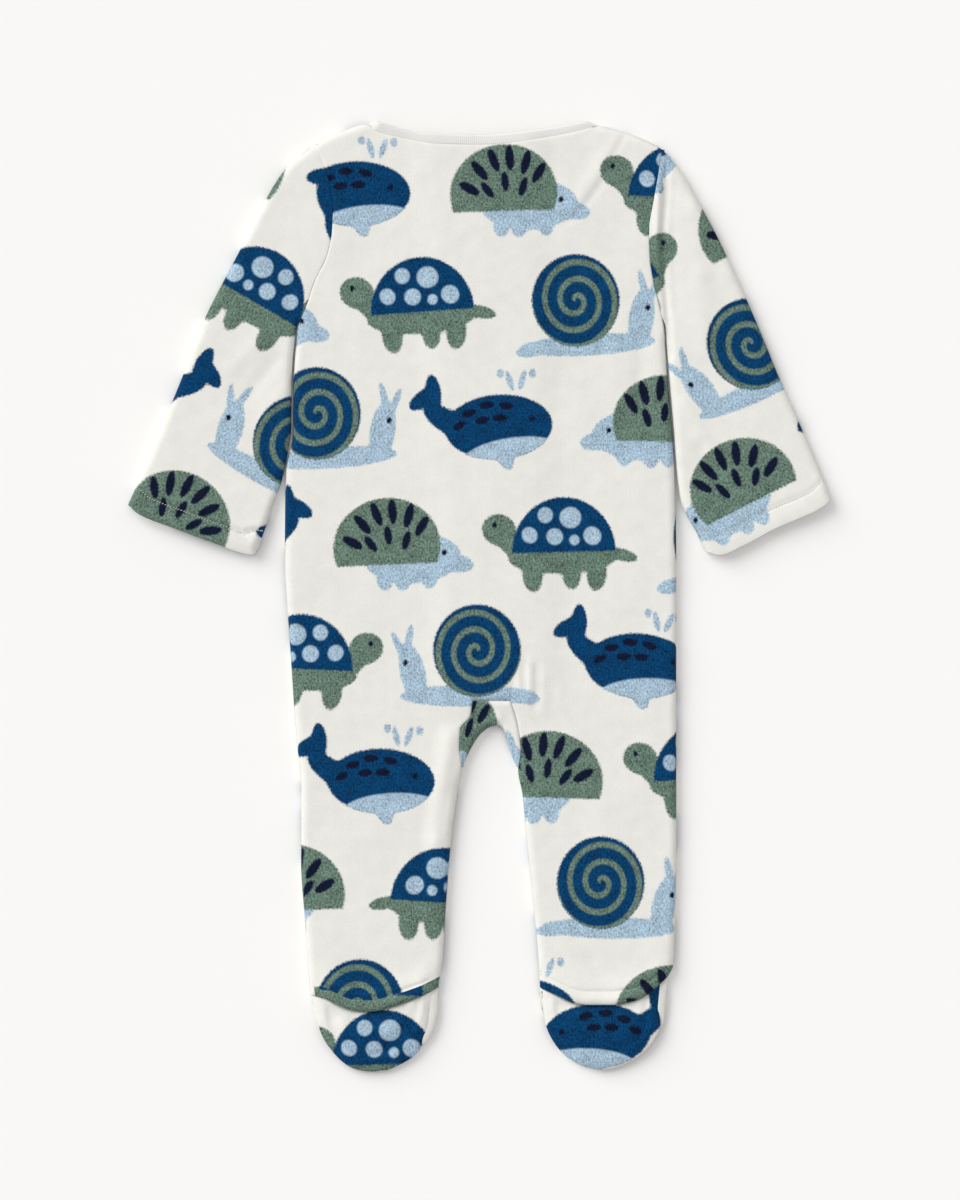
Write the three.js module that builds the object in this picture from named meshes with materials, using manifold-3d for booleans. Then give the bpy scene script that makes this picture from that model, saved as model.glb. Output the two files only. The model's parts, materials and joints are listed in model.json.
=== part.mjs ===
// A footed baby sleepsuit of plush cloth, laid flat on its front so that its back shows.
// Sizes are in millimetres. +Y runs to the neck, and the left of the wearer is on the -X side.
// The front layer rests on z = 0, and the back layer lies over it.
import * as THREE from 'three';
import Module from 'manifold-3d';

const wasm = await Module();
wasm.setup();

// The cloth and its edges.
const wall = 2.6; // one layer of plush
const hollow = 2; // air between the layers
const seamGap = 0.3; // between two pieces at a seam
const edgeRadius = 5; // how far in from a turned edge the cloth reaches its full height
const edgeSteps = [0, 1.2, 4]; // where rows and columns lie in from an edge
const seamDip = 0.9; // how deep a flat seam is pulled in
const dipWidth = 2.5;
const innerCrowding = 0.4; // how much closer the inner skin's columns lie at a turned edge
const topHeight = 2 * wall + hollow;
const midHeight = topHeight / 2;
const backRim = midHeight + seamGap / 2;
const frontRim = midHeight - seamGap / 2;

// The torso's lay-out, in rows from the shoulders to the crotch.
const crotchY = -66.5;
const torsoSteps = 22;
const underarmStep = 7; // the armhole ends at this row
const legCells = 5; // cells between the edge columns of one leg
const legLast = 2 * (edgeSteps.length - 1) + legCells; // a leg's last column, counted from its outer edge
const backLast = 2 * legLast + 2; // the back's last column, with one more down the gusset's middle

// The lap down the front, which poppers close.
const lapHalf = 10;
const lapLift = wall + seamGap; // how high the under lap lies
const lapRamp = { flat: 15, end: 30 }; // past the upper lap's edge, where the under lap comes down again
const lapEndY = -68;
const lapFadeY = -80;
const middleTop = { x: 2, y: 262 };
const middleFoot = { x: 11.5, y: -58 };
const popperCount = 7;
const popperTopY = 246;
const popperPitch = 44;
const popper = { capRadius: 5, capHeight: 0.9, bevel: 0.3, postRadius: 1.5, postTop: 4.4, sides: 12 };

// The heels, where the back leg's edge rolls over the sole, and the turned hems.
const ankleY = -250;
const heelRise = 24; // how far above the edge the cloth starts to rise
const soleTuck = 5; // how far the sole reaches under the heel edge
const soleTuckFrom = 19; // and how far in from the foot's sides it starts to
const hemRidge = 0.7;

// Left and right edges of the body and legs, from the armhole's top to the foot.
const sideLevels = [
  { y: 283, left: -103.3, right: 115.5 },
  { y: 266, left: -96.7, right: 113 },
  { y: 248, left: -92.6, right: 109.8 },
  { y: 231, left: -93.2, right: 107.2 },
  { y: 214, left: -96.7, right: 107.6 },
  { y: 200, left: -103.6, right: 109.6 },
  { y: 184, left: -109.1, right: 113.4 },
  { y: 169, left: -114.6, right: 116.4 },
  { y: 140, left: -117.5, right: 118.6 },
  { y: 100, left: -118.2, right: 122 },
  { y: 79, left: -122.6, right: 123.2 },
  { y: 22, left: -123.1, right: 124.4 },
  { y: -28, left: -120, right: 124.4 },
  { y: -91, left: -115.7, right: 124.4 },
  { y: -121, left: -112.8, right: 124.4 },
  { y: -168, left: -112.8, right: 124.4 },
  { y: -212, left: -109.8, right: 123.4 },
  { y: -234, left: -108.5, right: 122.3 },
  { y: -242, left: -107.8, right: 118.9 },
  { y: -253, left: -106.9, right: 118.3 },
  { y: -264, left: -105.2, right: 117 },
];

// The inner edges of the back legs, which the gusset meets at the top.
const innerLevels = [
  { y: crotchY, left: -4.3, right: 19.5 },
  { y: -76, left: -5.5, right: 22.6 },
  { y: -84, left: -12, right: 24.4 },
  { y: -97, left: -12.6, right: 26 },
  { y: -103, left: -11.6, right: 25.8 },
  { y: -110, left: -11.4, right: 24.4 },
  { y: -126, left: -14.2, right: 27.2 },
  { y: -155, left: -18, right: 29.8 },
  { y: -205, left: -21.8, right: 35.1 },
  { y: -231, left: -23.4, right: 37.3 },
  { y: -249, left: -26, right: 38.3 },
  { y: -260, left: -26, right: 39.1 },
];

// The front halves' free edges: the lap, the seam below it, and the top of the gap between the legs.
const frontInnerLevels = [
  { y: middleTop.y, left: middleTop.x + lapHalf, right: middleTop.x - lapHalf },
  { y: -40, left: 21, right: 1 },
  { y: middleFoot.y, left: middleFoot.x - seamGap, right: middleFoot.x + seamGap },
  { y: -80.5, left: middleFoot.x - seamGap, right: middleFoot.x + seamGap },
  { y: -84, left: 5, right: 14.8 },
  { y: -88, left: 0, right: 16.2 },
  { y: -96, left: -5.3, right: 18.8 },
  { y: -104, left: -9, right: 21.8 },
  ...innerLevels.filter((level) => level.y < -105),
];

// The garment's upper edge: the shoulders, and between them the back's neck seam.
const neckSeam = { left: -70.3, right: 75 };
const backTopLine = [
  { x: -103.3, y: 285.5 },
  { x: -88.5, y: 293.1 },
  { x: neckSeam.left, y: 298.3 },
  { x: -65.7, y: 293.9 },
  { x: -50.4, y: 289.8 },
  { x: -24.4, y: 285.4 },
  { x: 0, y: 284.9 },
  { x: 14.9, y: 285.7 },
  { x: 38.9, y: 289 },
  { x: 63.6, y: 293.8 },
  { x: neckSeam.right, y: 297.1 },
  { x: 86.7, y: 294.4 },
  { x: 105.8, y: 287.6 },
  { x: 115.5, y: 282.1 },
];
const frontTopLine = [
  ...backTopLine.slice(0, 3),
  { x: -62, y: 284 },
  { x: -48, y: 270 },
  { x: -25, y: 260.5 },
  { x: 2, y: 257.5 },
  { x: 29, y: 260.5 },
  { x: 52, y: 269 },
  { x: 66, y: 282.5 },
  ...backTopLine.slice(-4),
];
// The binding's free edge, on the back and on the front.
const backNeckEdge = [
  { x: -65.8, y: 300.3 },
  { x: -51.6, y: 295.7 },
  { x: -33.5, y: 292.3 },
  { x: 2.8, y: 291.4 },
  { x: 26.9, y: 293.2 },
  { x: 51, y: 296.8 },
  { x: 69.1, y: 300.1 },
];
const frontNeckEdge = [
  { x: -65.8, y: 300.3 },
  { x: -57, y: 287.5 },
  { x: -44, y: 275.5 },
  { x: -23, y: 267 },
  { x: 2, y: 264 },
  { x: 27, y: 267 },
  { x: 48, y: 274.5 },
  { x: 61.5, y: 286 },
  { x: 69.1, y: 300.1 },
];

// Heel seams and toe ends.
const heelLines = {
  left: [
    { x: -106.9, y: -252 }, { x: -97.3, y: -254 }, { x: -89, y: -258.8 }, { x: -78.8, y: -262.2 },
    { x: -68.5, y: -262.5 }, { x: -58.2, y: -260.1 }, { x: -37.7, y: -253.3 }, { x: -26, y: -247.5 },
  ],
  right: [
    { x: 38.3, y: -247.5 }, { x: 51, y: -253.2 }, { x: 58.4, y: -256.8 }, { x: 69.3, y: -258.3 },
    { x: 83.7, y: -258.3 }, { x: 94.6, y: -256.5 }, { x: 104.1, y: -253.2 }, { x: 111.4, y: -247.4 },
    { x: 119, y: -240 },
  ],
};
const toeLines = {
  left: [
    { x: -106.9, y: -254 }, { x: -105.2, y: -264.2 }, { x: -103.5, y: -272.5 }, { x: -100.1, y: -280.8 },
    { x: -95.9, y: -286.3 }, { x: -89.1, y: -293.9 }, { x: -78.8, y: -299.8 }, { x: -67.8, y: -300.9 },
    { x: -51.3, y: -295.7 }, { x: -37.7, y: -286.9 }, { x: -31.4, y: -279.3 }, { x: -27.7, y: -270.4 },
    { x: -26, y: -260.1 },
  ],
  right: [
    { x: 38.3, y: -250 }, { x: 39.1, y: -259.7 }, { x: 40.8, y: -270.6 }, { x: 44.5, y: -279.3 },
    { x: 49.6, y: -286.7 }, { x: 56.9, y: -293.2 }, { x: 65.5, y: -297.5 }, { x: 78, y: -300 },
    { x: 91, y: -296.8 }, { x: 101.9, y: -291 }, { x: 107.7, y: -285.9 }, { x: 112.9, y: -278.7 },
    { x: 116.2, y: -270.6 }, { x: 118.3, y: -252.5 }, { x: 119, y: -243 },
  ],
};
// How high the rolled heel edge stands above its edge line, and how high its underside does.
const heelProfile = [
  { from: 0, top: 9, under: 7.6 },
  { from: 2.5, top: 10.6, under: 7.6 },
  { from: 6, top: 10.8, under: 7.6 },
  { from: 10, top: 9.7, under: 6 },
  { from: 16, top: 8.2, under: 5 },
  { from: heelRise, top: topHeight, under: topHeight - wall },
];

// The free part of each sleeve's inner edge, its outer edge and its hem, in order from the body to the wrist.
const sleeveLines = {
  left: {
    innerFromY: 80,
    inner: [[-125.6, 70.3], [-129.8, 59.5], [-134.4, 45.7], [-140.2, 29]],
    outer: [
      [-111.8, 279.4], [-122.1, 270.5], [-129.6, 260.1], [-136.5, 247.8], [-151.6, 218.3],
      [-175.7, 170.8], [-187.1, 140.4], [-209.2, 87.2], [-222.2, 57.5],
    ],
    hem: [[-143.3, 25.9], [-169.5, 33.9], [-191.2, 41.9], [-215, 51.4]],
  },
  right: {
    innerFromY: 75,
    inner: [[126.9, 60.9], [131.9, 49.2], [137, 40.2], [142, 28.6]],
    outer: [
      [121, 275.9], [127.8, 267.7], [133.3, 258.1], [151.4, 224.8], [176.8, 168.8],
      [188.6, 139.9], [212.4, 85.7], [222.2, 61.5],
    ],
    hem: [[151.2, 25.7], [166.7, 31.8], [186.1, 42.1], [217, 56.4]],
  },
};
const sleeveStations = [
  0, 0.012, 0.03, 0.055, 0.09, 0.14, 0.22, 0.32, 0.43, 0.54, 0.65, 0.76, 0.86, 0.92, 0.94, 0.965, 0.99, 1,
];
const sleeveHemShare = 0.94;
const bodyGap = 1; // between a sleeve's inner edge and the body's side
const seamSlack = seamGap + 0.25; // seams that run askew are set this far apart across the garment
const underarmEase = 0.5;
const underarmFade = 12; // how much faster the armhole's curve dies away at the underarm than at the shoulder
const footSpread = { fromY: -150, toY: -235, share: 0.6 }; // legs' columns crowd to the sides of the feet

// Soft creases of the upper layer, as straight troughs (below nought) and ridges that fade at their ends.
const folds = [
  { x1: 91, y1: 288, x2: 54, y2: 235, rise: 0.8, width: 6 },
  { x1: 103, y1: 162, x2: 102, y2: 114, rise: -0.9, width: 12 },
  { x1: 36, y1: -46, x2: 35, y2: -72, rise: -0.8, width: 6 },
  { x1: 26, y1: -44, x2: 28, y2: -62, rise: 0.7, width: 6 },
  { x1: -55, y1: -104, x2: -52, y2: -130, rise: -0.8, width: 7 },
  { x1: -23, y1: -112, x2: -30, y2: -200, rise: 0.9, width: 9 },
  { x1: 118, y1: 272, x2: 116.5, y2: 232, rise: -1.6, width: 4 },
  { x1: 116.5, y1: 236, x2: 119, y2: 150, rise: -1.6, width: 4 },
  { x1: 126, y1: 262, x2: 127, y2: 170, rise: 1.7, width: 9 },
  { x1: -124, y1: 150, x2: -150, y2: 118, rise: -0.9, width: 8 },
  { x1: -128, y1: 166, x2: -160, y2: 140, rise: 1, width: 10 },
  { x1: 128, y1: 140, x2: 158, y2: 112, rise: -0.9, width: 8 },
  { x1: 130, y1: 120, x2: 150, y2: 84, rise: 1, width: 9 },
];
const lapRise = { height: 1.4, flat: 26, fall: 22, endY: -66, fadeY: -82 };

const clamp = (value, low, high) => Math.min(Math.max(value, low), high);
const lerp = (from, to, share) => from + (to - from) * share;
const smooth = (share) => {
  const s = clamp(share, 0, 1);
  return s * s * (3 - 2 * s);
};
const quarterRound = (share) => Math.sqrt(1 - (1 - clamp(share, 0, 1)) ** 2);

// A smooth line through a table: the value of one column against another, with no overshoot.
function tableLine(rows, key, column) {
  const sorted = [...rows].sort((a, b) => a[key] - b[key]);
  const at = sorted.map((row) => row[key]);
  const value = sorted.map((row) => row[column]);
  const secant = (i) => (value[i + 1] - value[i]) / (at[i + 1] - at[i]);
  const slope = at.map((_, i) => {
    if (i === 0) return secant(0);
    if (i === at.length - 1) return secant(i - 1);
    const [before, after] = [secant(i - 1), secant(i)];
    return before * after <= 0 ? 0 : (2 * before * after) / (before + after);
  });
  return (where) => {
    const place = clamp(where, at[0], at[at.length - 1]);
    let i = 0;
    while (i < at.length - 2 && place > at[i + 1]) i += 1;
    const step = at[i + 1] - at[i];
    const t = (place - at[i]) / step;
    const rise = (3 - 2 * t) * t * t;
    return (
      lerp(value[i], value[i + 1], rise)
      + step * (slope[i] * t * (1 - t) ** 2 - slope[i + 1] * t * t * (1 - t))
    );
  };
}

const side = {
  left: tableLine(sideLevels, 'y', 'left'),
  right: tableLine(sideLevels, 'y', 'right'),
};
const inner = {
  left: tableLine(innerLevels, 'y', 'left'),
  right: tableLine(innerLevels, 'y', 'right'),
};
const frontInner = {
  left: tableLine(frontInnerLevels, 'y', 'left'),
  right: tableLine(frontInnerLevels, 'y', 'right'),
};
const heel = { left: tableLine(heelLines.left, 'x', 'y'), right: tableLine(heelLines.right, 'x', 'y') };
const toe = { left: tableLine(toeLines.left, 'x', 'y'), right: tableLine(toeLines.right, 'x', 'y') };
const backTop = tableLine(backTopLine, 'x', 'y');
const frontTop = tableLine(frontTopLine, 'x', 'y');
const heelTopHeight = tableLine(heelProfile, 'from', 'top');
const heelUnderHeight = tableLine(heelProfile, 'from', 'under');
const middleX = (y) => lerp(middleTop.x, middleFoot.x, (middleTop.y - y) / (middleTop.y - middleFoot.y));

// How far the soft creases and the lap underneath raise the upper layer.
function foldRise(x, y) {
  let rise = 0;
  for (const fold of folds) {
    const [dx, dy] = [fold.x2 - fold.x1, fold.y2 - fold.y1];
    const length = Math.hypot(dx, dy);
    const along = ((x - fold.x1) * dx + (y - fold.y1) * dy) / length;
    const aside = Math.abs((x - fold.x1) * dy - (y - fold.y1) * dx) / length;
    const ends = smooth(along / fold.width + 0.5) * smooth((length - along) / fold.width + 0.5);
    rise += fold.rise * ends * Math.exp(-((aside / (0.6 * fold.width)) ** 2));
  }
  const fromLap = Math.abs(x - middleX(y)) - lapRise.flat;
  const lapEnd = smooth((y - lapRise.fadeY) / (lapRise.endY - lapRise.fadeY));
  return Math.max(rise, seamGap - hollow) + lapRise.height * smooth(1 - fromLap / lapRise.fall) * lapEnd;
}

// How flat the cloth lies at a distance from a turned edge: 0 on the edge and 1 past its radius.
const turn = (distance, strength = 1) => 1 - strength * (1 - quarterRound(distance / edgeRadius));
const innerTurn = (distance, strength = 1) => (
  1 - strength * (1 - quarterRound(((1 - innerCrowding) * distance) / (edgeRadius - wall)))
);
const inset = (distance, strength = 1) => distance + strength * (wall - innerCrowding * distance);
const dip = (distance) => seamDip * (1 - quarterRound(distance / dipWidth));

// A closed wall from a grid of its two skins. Cells that are left out make notches.
function wallMesh(rows, columns, skins, isCell = () => true, wrap = false) {
  const points = [];
  const numberOf = new Map();
  const corner = (i, j, skin) => {
    const key = `${i},${j % columns},${skin}`;
    if (!numberOf.has(key)) {
      numberOf.set(key, points.length / 3);
      points.push(...skins(i, j % columns)[skin]);
    }
    return numberOf.get(key);
  };
  const faces = [];
  const borders = new Map();
  const lastColumn = wrap ? columns : columns - 1;
  for (let i = 0; i < rows - 1; i += 1) {
    for (let j = 0; j < lastColumn; j += 1) {
      if (isCell(i, j)) {
        const loop = [[i, j], [i + 1, j], [i + 1, j + 1], [i, j + 1]];
        const [a, b, c, d] = loop.map(([r, s]) => corner(r, s, 'top'));
        const [e, f, g, h] = loop.map(([r, s]) => corner(r, s, 'under'));
        faces.push(a, b, c, a, c, d, e, g, f, e, h, g);
        loop.forEach(([r, s], k) => {
          const [r2, s2] = loop[(k + 1) % 4];
          const ends = [`${r},${s % columns}`, `${r2},${s2 % columns}`];
          if (!borders.delete(`${ends[1]};${ends[0]}`)) borders.set(`${ends[0]};${ends[1]}`, [r, s, r2, s2]);
        });
      }
    }
  }
  for (const [r, s, r2, s2] of borders.values()) {
    const [p, q] = [corner(r, s, 'top'), corner(r2, s2, 'top')];
    const [pUnder, qUnder] = [corner(r, s, 'under'), corner(r2, s2, 'under')];
    faces.push(q, p, pUnder, q, pUnder, qUnder);
  }
  return outward(points, faces);
}

// A geometry whose faces point out, whichever way round its grid was numbered.
function outward(points, faces) {
  let volume = 0;
  const at = (k) => new THREE.Vector3().fromArray(points, 3 * k);
  for (let k = 0; k < faces.length; k += 3) {
    volume += at(faces[k]).dot(at(faces[k + 1]).cross(at(faces[k + 2])));
  }
  const ordered = volume > 0 ? faces : faces.map((_, k) => faces[k - (k % 3) + [0, 2, 1][k % 3]]);
  const geometry = new THREE.BufferGeometry();
  geometry.setAttribute('position', new THREE.Float32BufferAttribute(points, 3));
  geometry.setIndex(ordered);
  geometry.computeVertexNormals();
  return geometry;
}

// The two skins of the upper layer. The outer one is on top.
function backSkins(outer, innerPlan, flat, innerFlat, dips = 0) {
  const height = topHeight + foldRise(...outer);
  return {
    top: [...outer, backRim + (height - backRim) * flat - dips * flat],
    under: [...innerPlan, backRim + (height - wall - backRim) * innerFlat],
  };
}

// The two skins of the lower layer, whose outer one lies on the floor.
function frontSkins(outer, innerPlan, flat, innerFlat, lift = 0) {
  return {
    top: [...innerPlan, lift + frontRim + (wall - frontRim) * innerFlat],
    under: [...outer, lift + frontRim * (1 - flat)],
  };
}

// Row heights of the torso: edge rows first, then even shares of the way to the crotch.
const evenShares = Array.from({ length: torsoSteps }, (_, k) => (k + 1) / torsoSteps);
const frontShares = evenShares.filter((_, k) => k < 2 * underarmStep || k % 2 === 1);
const edgeRows = edgeSteps.length;
const lastEdge = edgeSteps[edgeRows - 1];
const rowY = (top, i, shares) => (
  i < edgeRows ? top - edgeSteps[i] : lerp(top - lastEdge, crotchY, shares[i - edgeRows])
);
const rowShare = (i, shares) => (i < edgeRows ? 0 : shares[i - edgeRows]);
const underarmRow = edgeRows - 1 + underarmStep;

// How strongly an edge is turned down: the sides below the armholes, the shoulders beside the neck, and the
// inner legs below the gusset.
const sideTurn = (y) => smooth((sideLevels[7].y + 1 - y) / 12);
const shoulderTurn = (x) => (
  smooth((neckSeam.left + edgeRadius - x) / edgeRadius)
  + smooth((x - neckSeam.right + edgeRadius) / edgeRadius)
);
const legTurn = (y) => smooth((-106 - y) / 10);

// A column's place across one leg, counted from the leg's outer edge.
function legColumn(outer, innerEdge, k, y, innerShare = [0, 0]) {
  const towards = Math.sign(innerEdge - outer);
  const crowding = footSpread.share * smooth((footSpread.fromY - y) / (footSpread.fromY - footSpread.toY));
  if (k < edgeRows) {
    return outer + towards * inset(edgeSteps[k], innerShare[0]);
  }
  if (k > legLast - edgeRows) {
    return innerEdge - towards * inset(edgeSteps[legLast - k], innerShare[1]);
  }
  const even = (k - edgeRows + 1) / legCells;
  const share = lerp(even, 0.5 - 0.5 * Math.cos(Math.PI * even), crowding);
  return lerp(outer + towards * lastEdge, innerEdge - towards * lastEdge, share);
}

// Where each column starts at the garment's upper edge. Columns between the two neck ends are even.
function topColumns(last, neckFrom, neckTo) {
  const ends = { left: sideLevels[0].left, right: sideLevels[0].right };
  const shoulderColumns = neckFrom - edgeRows + 1;
  return Array.from({ length: last + 1 }, (_, j) => {
    if (j < edgeRows) return ends.left + edgeSteps[j];
    if (j > last - edgeRows) return ends.right - edgeSteps[last - j];
    if (j < neckFrom) return lerp(ends.left + lastEdge, neckSeam.left, (j - edgeRows + 1) / shoulderColumns);
    if (j > neckTo) return lerp(neckSeam.right, ends.right - lastEdge, (j - neckTo) / shoulderColumns);
    return lerp(neckSeam.left, neckSeam.right, (j - neckFrom) / (neckTo - neckFrom));
  });
}
const backNeckFrom = edgeRows + 1;
const backNeckTo = backLast - backNeckFrom;
const backTopX = topColumns(backLast, backNeckFrom, backNeckTo);

// The back: one piece from the neck to both heels, with a notch for the gusset.
const legShares = [0.06, 0.11, 0.17, 0.24, 0.29, 0.38, 0.48, 0.58, 0.68, 0.79, 0.9, 1];
const heelRows = [16, 10, 6, 2.5, 0];
const crotchRow = edgeRows - 1 + torsoSteps;
const backRows = crotchRow + legShares.length + heelRows.length + 1;

const legSideOf = (j) => (j <= legLast ? 'left' : 'right');
const legIndexOf = (j) => (j <= legLast ? j : backLast - j);
const isGussetColumn = (j) => j === legLast + 1;

function backTorsoSkins(i, j) {
  const top = backTop(backTopX[j]);
  const y = rowY(top, i, evenShares);
  const turned = sideTurn(y);
  const shoulder = i < edgeRows ? shoulderTurn(backTopX[j]) : 0;
  const span = [side.left(y) + lastEdge, side.right(y) - lastEdge];
  const topShare = (backTopX[j] - backTopX[0] - lastEdge) / (backTopX[backLast] - backTopX[0] - 2 * lastEdge);
  const foot = isGussetColumn(j)
    ? (inner.left(crotchY) + inner.right(crotchY)) / 2
    : legColumn(side[legSideOf(j)](crotchY), inner[legSideOf(j)](crotchY), legIndexOf(j), crotchY);
  const footSpan = [side.left(crotchY) + lastEdge, side.right(crotchY) - lastEdge];
  const footShare = (foot - footSpan[0]) / (footSpan[1] - footSpan[0]);
  const share = lerp(topShare, footShare, smooth(rowShare(i, evenShares)));
  const fromEdge = Math.min(j, backLast - j);
  const atEdge = fromEdge < edgeRows;
  const edgeX = (level, amount) => (j < edgeRows ? side.left(level) + amount : side.right(level) - amount);
  const distance = atEdge ? edgeSteps[fromEdge] : edgeRadius;
  const fromTop = i < edgeRows ? edgeSteps[i] : edgeRadius;
  const innerY = i < edgeRows ? y - shoulder * (inset(fromTop) - fromTop) : y;
  const x = atEdge ? edgeX(y, distance) : lerp(span[0], span[1], share);
  const innerX = atEdge ? edgeX(innerY, inset(distance, turned)) : x;
  const flat = turn(distance, turned) * turn(fromTop, shoulder);
  const innerFlat = innerTurn(distance, turned) * innerTurn(fromTop, shoulder);
  const neckDip = i === 0 ? seamDip * (1 - shoulder) : 0;
  const armholeDip = (1 - turned) * dip(distance) * (atEdge ? 1 : 0);
  return backSkins([x, y], [innerX, innerY], flat, innerFlat, Math.max(neckDip, armholeDip));
}

function backLegSkins(i, j) {
  const name = legSideOf(j);
  const k = legIndexOf(j);
  const heelX = legColumn(side[name](ankleY), inner[name](ankleY), k, ankleY);
  const row = i - crotchRow;
  const fromHeel = row <= legShares.length ? heelRise : heelRows[row - legShares.length - 1];
  const y = row <= legShares.length
    ? lerp(crotchY, heel[name](heelX) + heelRise, row === 0 ? 0 : legShares[row - 1])
    : heel[name](heelX) + fromHeel;
  const [outer, innerEdge] = [side[name](y), inner[name](y)];
  const strengths = [1, legTurn(y)];
  const x = legColumn(outer, innerEdge, k, y);
  const innerX = legColumn(outer, innerEdge, k, y, strengths);
  const distances = [Math.abs(x - outer), Math.abs(innerEdge - x)];
  const flat = turn(distances[0]) * turn(distances[1], strengths[1]);
  const innerFlat = innerTurn(distances[0]) * innerTurn(distances[1], strengths[1]);
  const innerY = y + heel[name](innerX) - heel[name](x);
  const skins = backSkins([x, y], [innerX, innerY], flat, innerFlat, (1 - strengths[1]) * dip(distances[1]));
  const roll = smooth((Math.min(...distances) - lastEdge) / 10);
  skins.top[2] += roll * (heelTopHeight(fromHeel) - topHeight);
  skins.under[2] += roll * (heelUnderHeight(fromHeel) - topHeight + wall);
  return skins;
}

function backSkinsAt(i, j) {
  if (i < crotchRow || isGussetColumn(j)) return backTorsoSkins(i, j);
  return backLegSkins(i, j);
}
const backGeometry = wallMesh(
  backRows,
  backLast + 1,
  backSkinsAt,
  (i, j) => i < crotchRow || j < legLast || j > legLast + 1,
);

// The gusset: a patch between the notch in the back and the gap between the legs.
// Each row gives a point of its free edge; its seam edge follows the back's.
const gussetFree = [
  { x: -9, y: -104 }, { x: -4, y: -94 }, { x: 0.5, y: -87.6 }, { x: 5.3, y: -83.7 },
  { x: 8.6, y: -82.2 }, { x: 11.8, y: -81.8 }, { x: 14.6, y: -84 }, { x: 15.9, y: -87.6 },
  { x: 17.5, y: -92 }, { x: 19.4, y: -98 }, { x: 21.6, y: -104 },
];
const gussetSideRows = 4;
function gussetSeam(i) {
  const middle = gussetSideRows + 1;
  if (i < gussetSideRows) return backLegSkins(crotchRow + gussetSideRows - i, legLast).top;
  if (i === gussetSideRows) return backLegSkins(crotchRow, legLast).top;
  if (i === middle) return backTorsoSkins(crotchRow, legLast + 1).top;
  return backLegSkins(crotchRow + i - middle - 1, legLast + 2).top;
}
const gussetShares = [0, 0.35, 0.65, 0.88, 1];
function gussetSkins(i, j) {
  const free = new THREE.Vector2(gussetFree[i].x, gussetFree[i].y);
  const seam = new THREE.Vector2(...gussetSeam(i).slice(0, 2));
  const fromMiddle = gussetSideRows + 1 - i;
  const inward = new THREE.Vector2(Math.sign(fromMiddle), Math.abs(fromMiddle) < 2 ? -1 : 0);
  seam.addScaledVector(inward, seamGap + 0.1);
  const width = free.distanceTo(seam);
  const distance = width * (1 - gussetShares[j]);
  const innerInset = Math.min(wall, 0.5 * width) * gussetShares[j];
  const outer = seam.clone().lerp(free, gussetShares[j]);
  const innerPlan = seam.clone().lerp(free, gussetShares[j] - innerInset / width);
  const dips = dip(width - distance);
  return backSkins(outer.toArray(), innerPlan.toArray(), turn(distance), innerTurn(distance), dips);
}
const gussetGeometry = wallMesh(gussetFree.length, gussetShares.length, gussetSkins);

// A sole: from under the rolled heel edge to the toe seam.
const soleShares = [0, 0.14, 0.28, 0.42, 0.56, 0.7, 0.82, 0.91, 0.97, 1];
function soleSkins(name, i, k) {
  const x = legColumn(side[name](ankleY), inner[name](ankleY), k, ankleY);
  const edges = [side[name](ankleY), inner[name](ankleY)];
  const fromSides = Math.min(Math.abs(x - edges[0]), Math.abs(x - edges[1]));
  const tuck = smooth((fromSides - soleTuckFrom) / 10);
  const start = heel[name](x) - seamSlack + (soleTuck + seamSlack) * tuck;
  const end = Math.min(toe[name](x), start - 1.5);
  const y = lerp(start, end, soleShares[i]);
  const [outer, innerEdge] = [side[name](y), inner[name](y)];
  const planX = legColumn(outer, innerEdge, k, y);
  const innerX = legColumn(outer, innerEdge, k, y, [1, 1]);
  const toToe = y - end;
  const toSides = [Math.abs(planX - outer), Math.abs(innerEdge - planX)];
  const flat = turn(toSides[0]) * turn(toSides[1]) * turn(toToe);
  const innerFlat = innerTurn(toSides[0]) * innerTurn(toSides[1]) * innerTurn(toToe);
  const slope = heel[name](innerX) - heel[name](planX);
  const clearOfToe = Math.max(y, end + Math.min(inset(toToe), 0.8 * (start - end)));
  const innerY = Math.min(clearOfToe + (1 - soleShares[i]) * slope, start + slope);
  return backSkins([planX, y], [innerX, innerY], flat, innerFlat);
}
const soleGeometry = (name) => wallMesh(soleShares.length, legLast + 1, (i, k) => soleSkins(name, i, k));

// A front half, with its leg and the upper of its foot.
const frontLegShares = [0.035, 0.075, 0.1, 0.135, 0.18, 0.26, 0.38, 0.52, 0.67, 0.8, 0.89, 0.95, 0.985, 1];
const frontCrotchRow = edgeRows - 1 + frontShares.length;
const frontNeckFrom = edgeRows + 1;
const lapTopX = { left: middleTop.x + lapHalf, right: middleTop.x - lapHalf };
function frontTopX(name, k) {
  const outer = sideLevels[0][name];
  const towards = name === 'left' ? 1 : -1;
  if (k < edgeRows) return outer + towards * edgeSteps[k];
  if (k < frontNeckFrom) return lerp(outer + towards * lastEdge, neckSeam[name], 0.5);
  return lerp(neckSeam[name], lapTopX[name], (k - frontNeckFrom) / (legLast - frontNeckFrom));
}
function lift(name, x, y) {
  if (name === 'left') return 0;
  const past = x - frontInner.left(Math.max(y, middleFoot.y));
  const ramp = smooth((lapRamp.end - past) / (lapRamp.end - lapRamp.flat));
  return lapLift * ramp * smooth((y - lapFadeY) / (lapEndY - lapFadeY));
}
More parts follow.
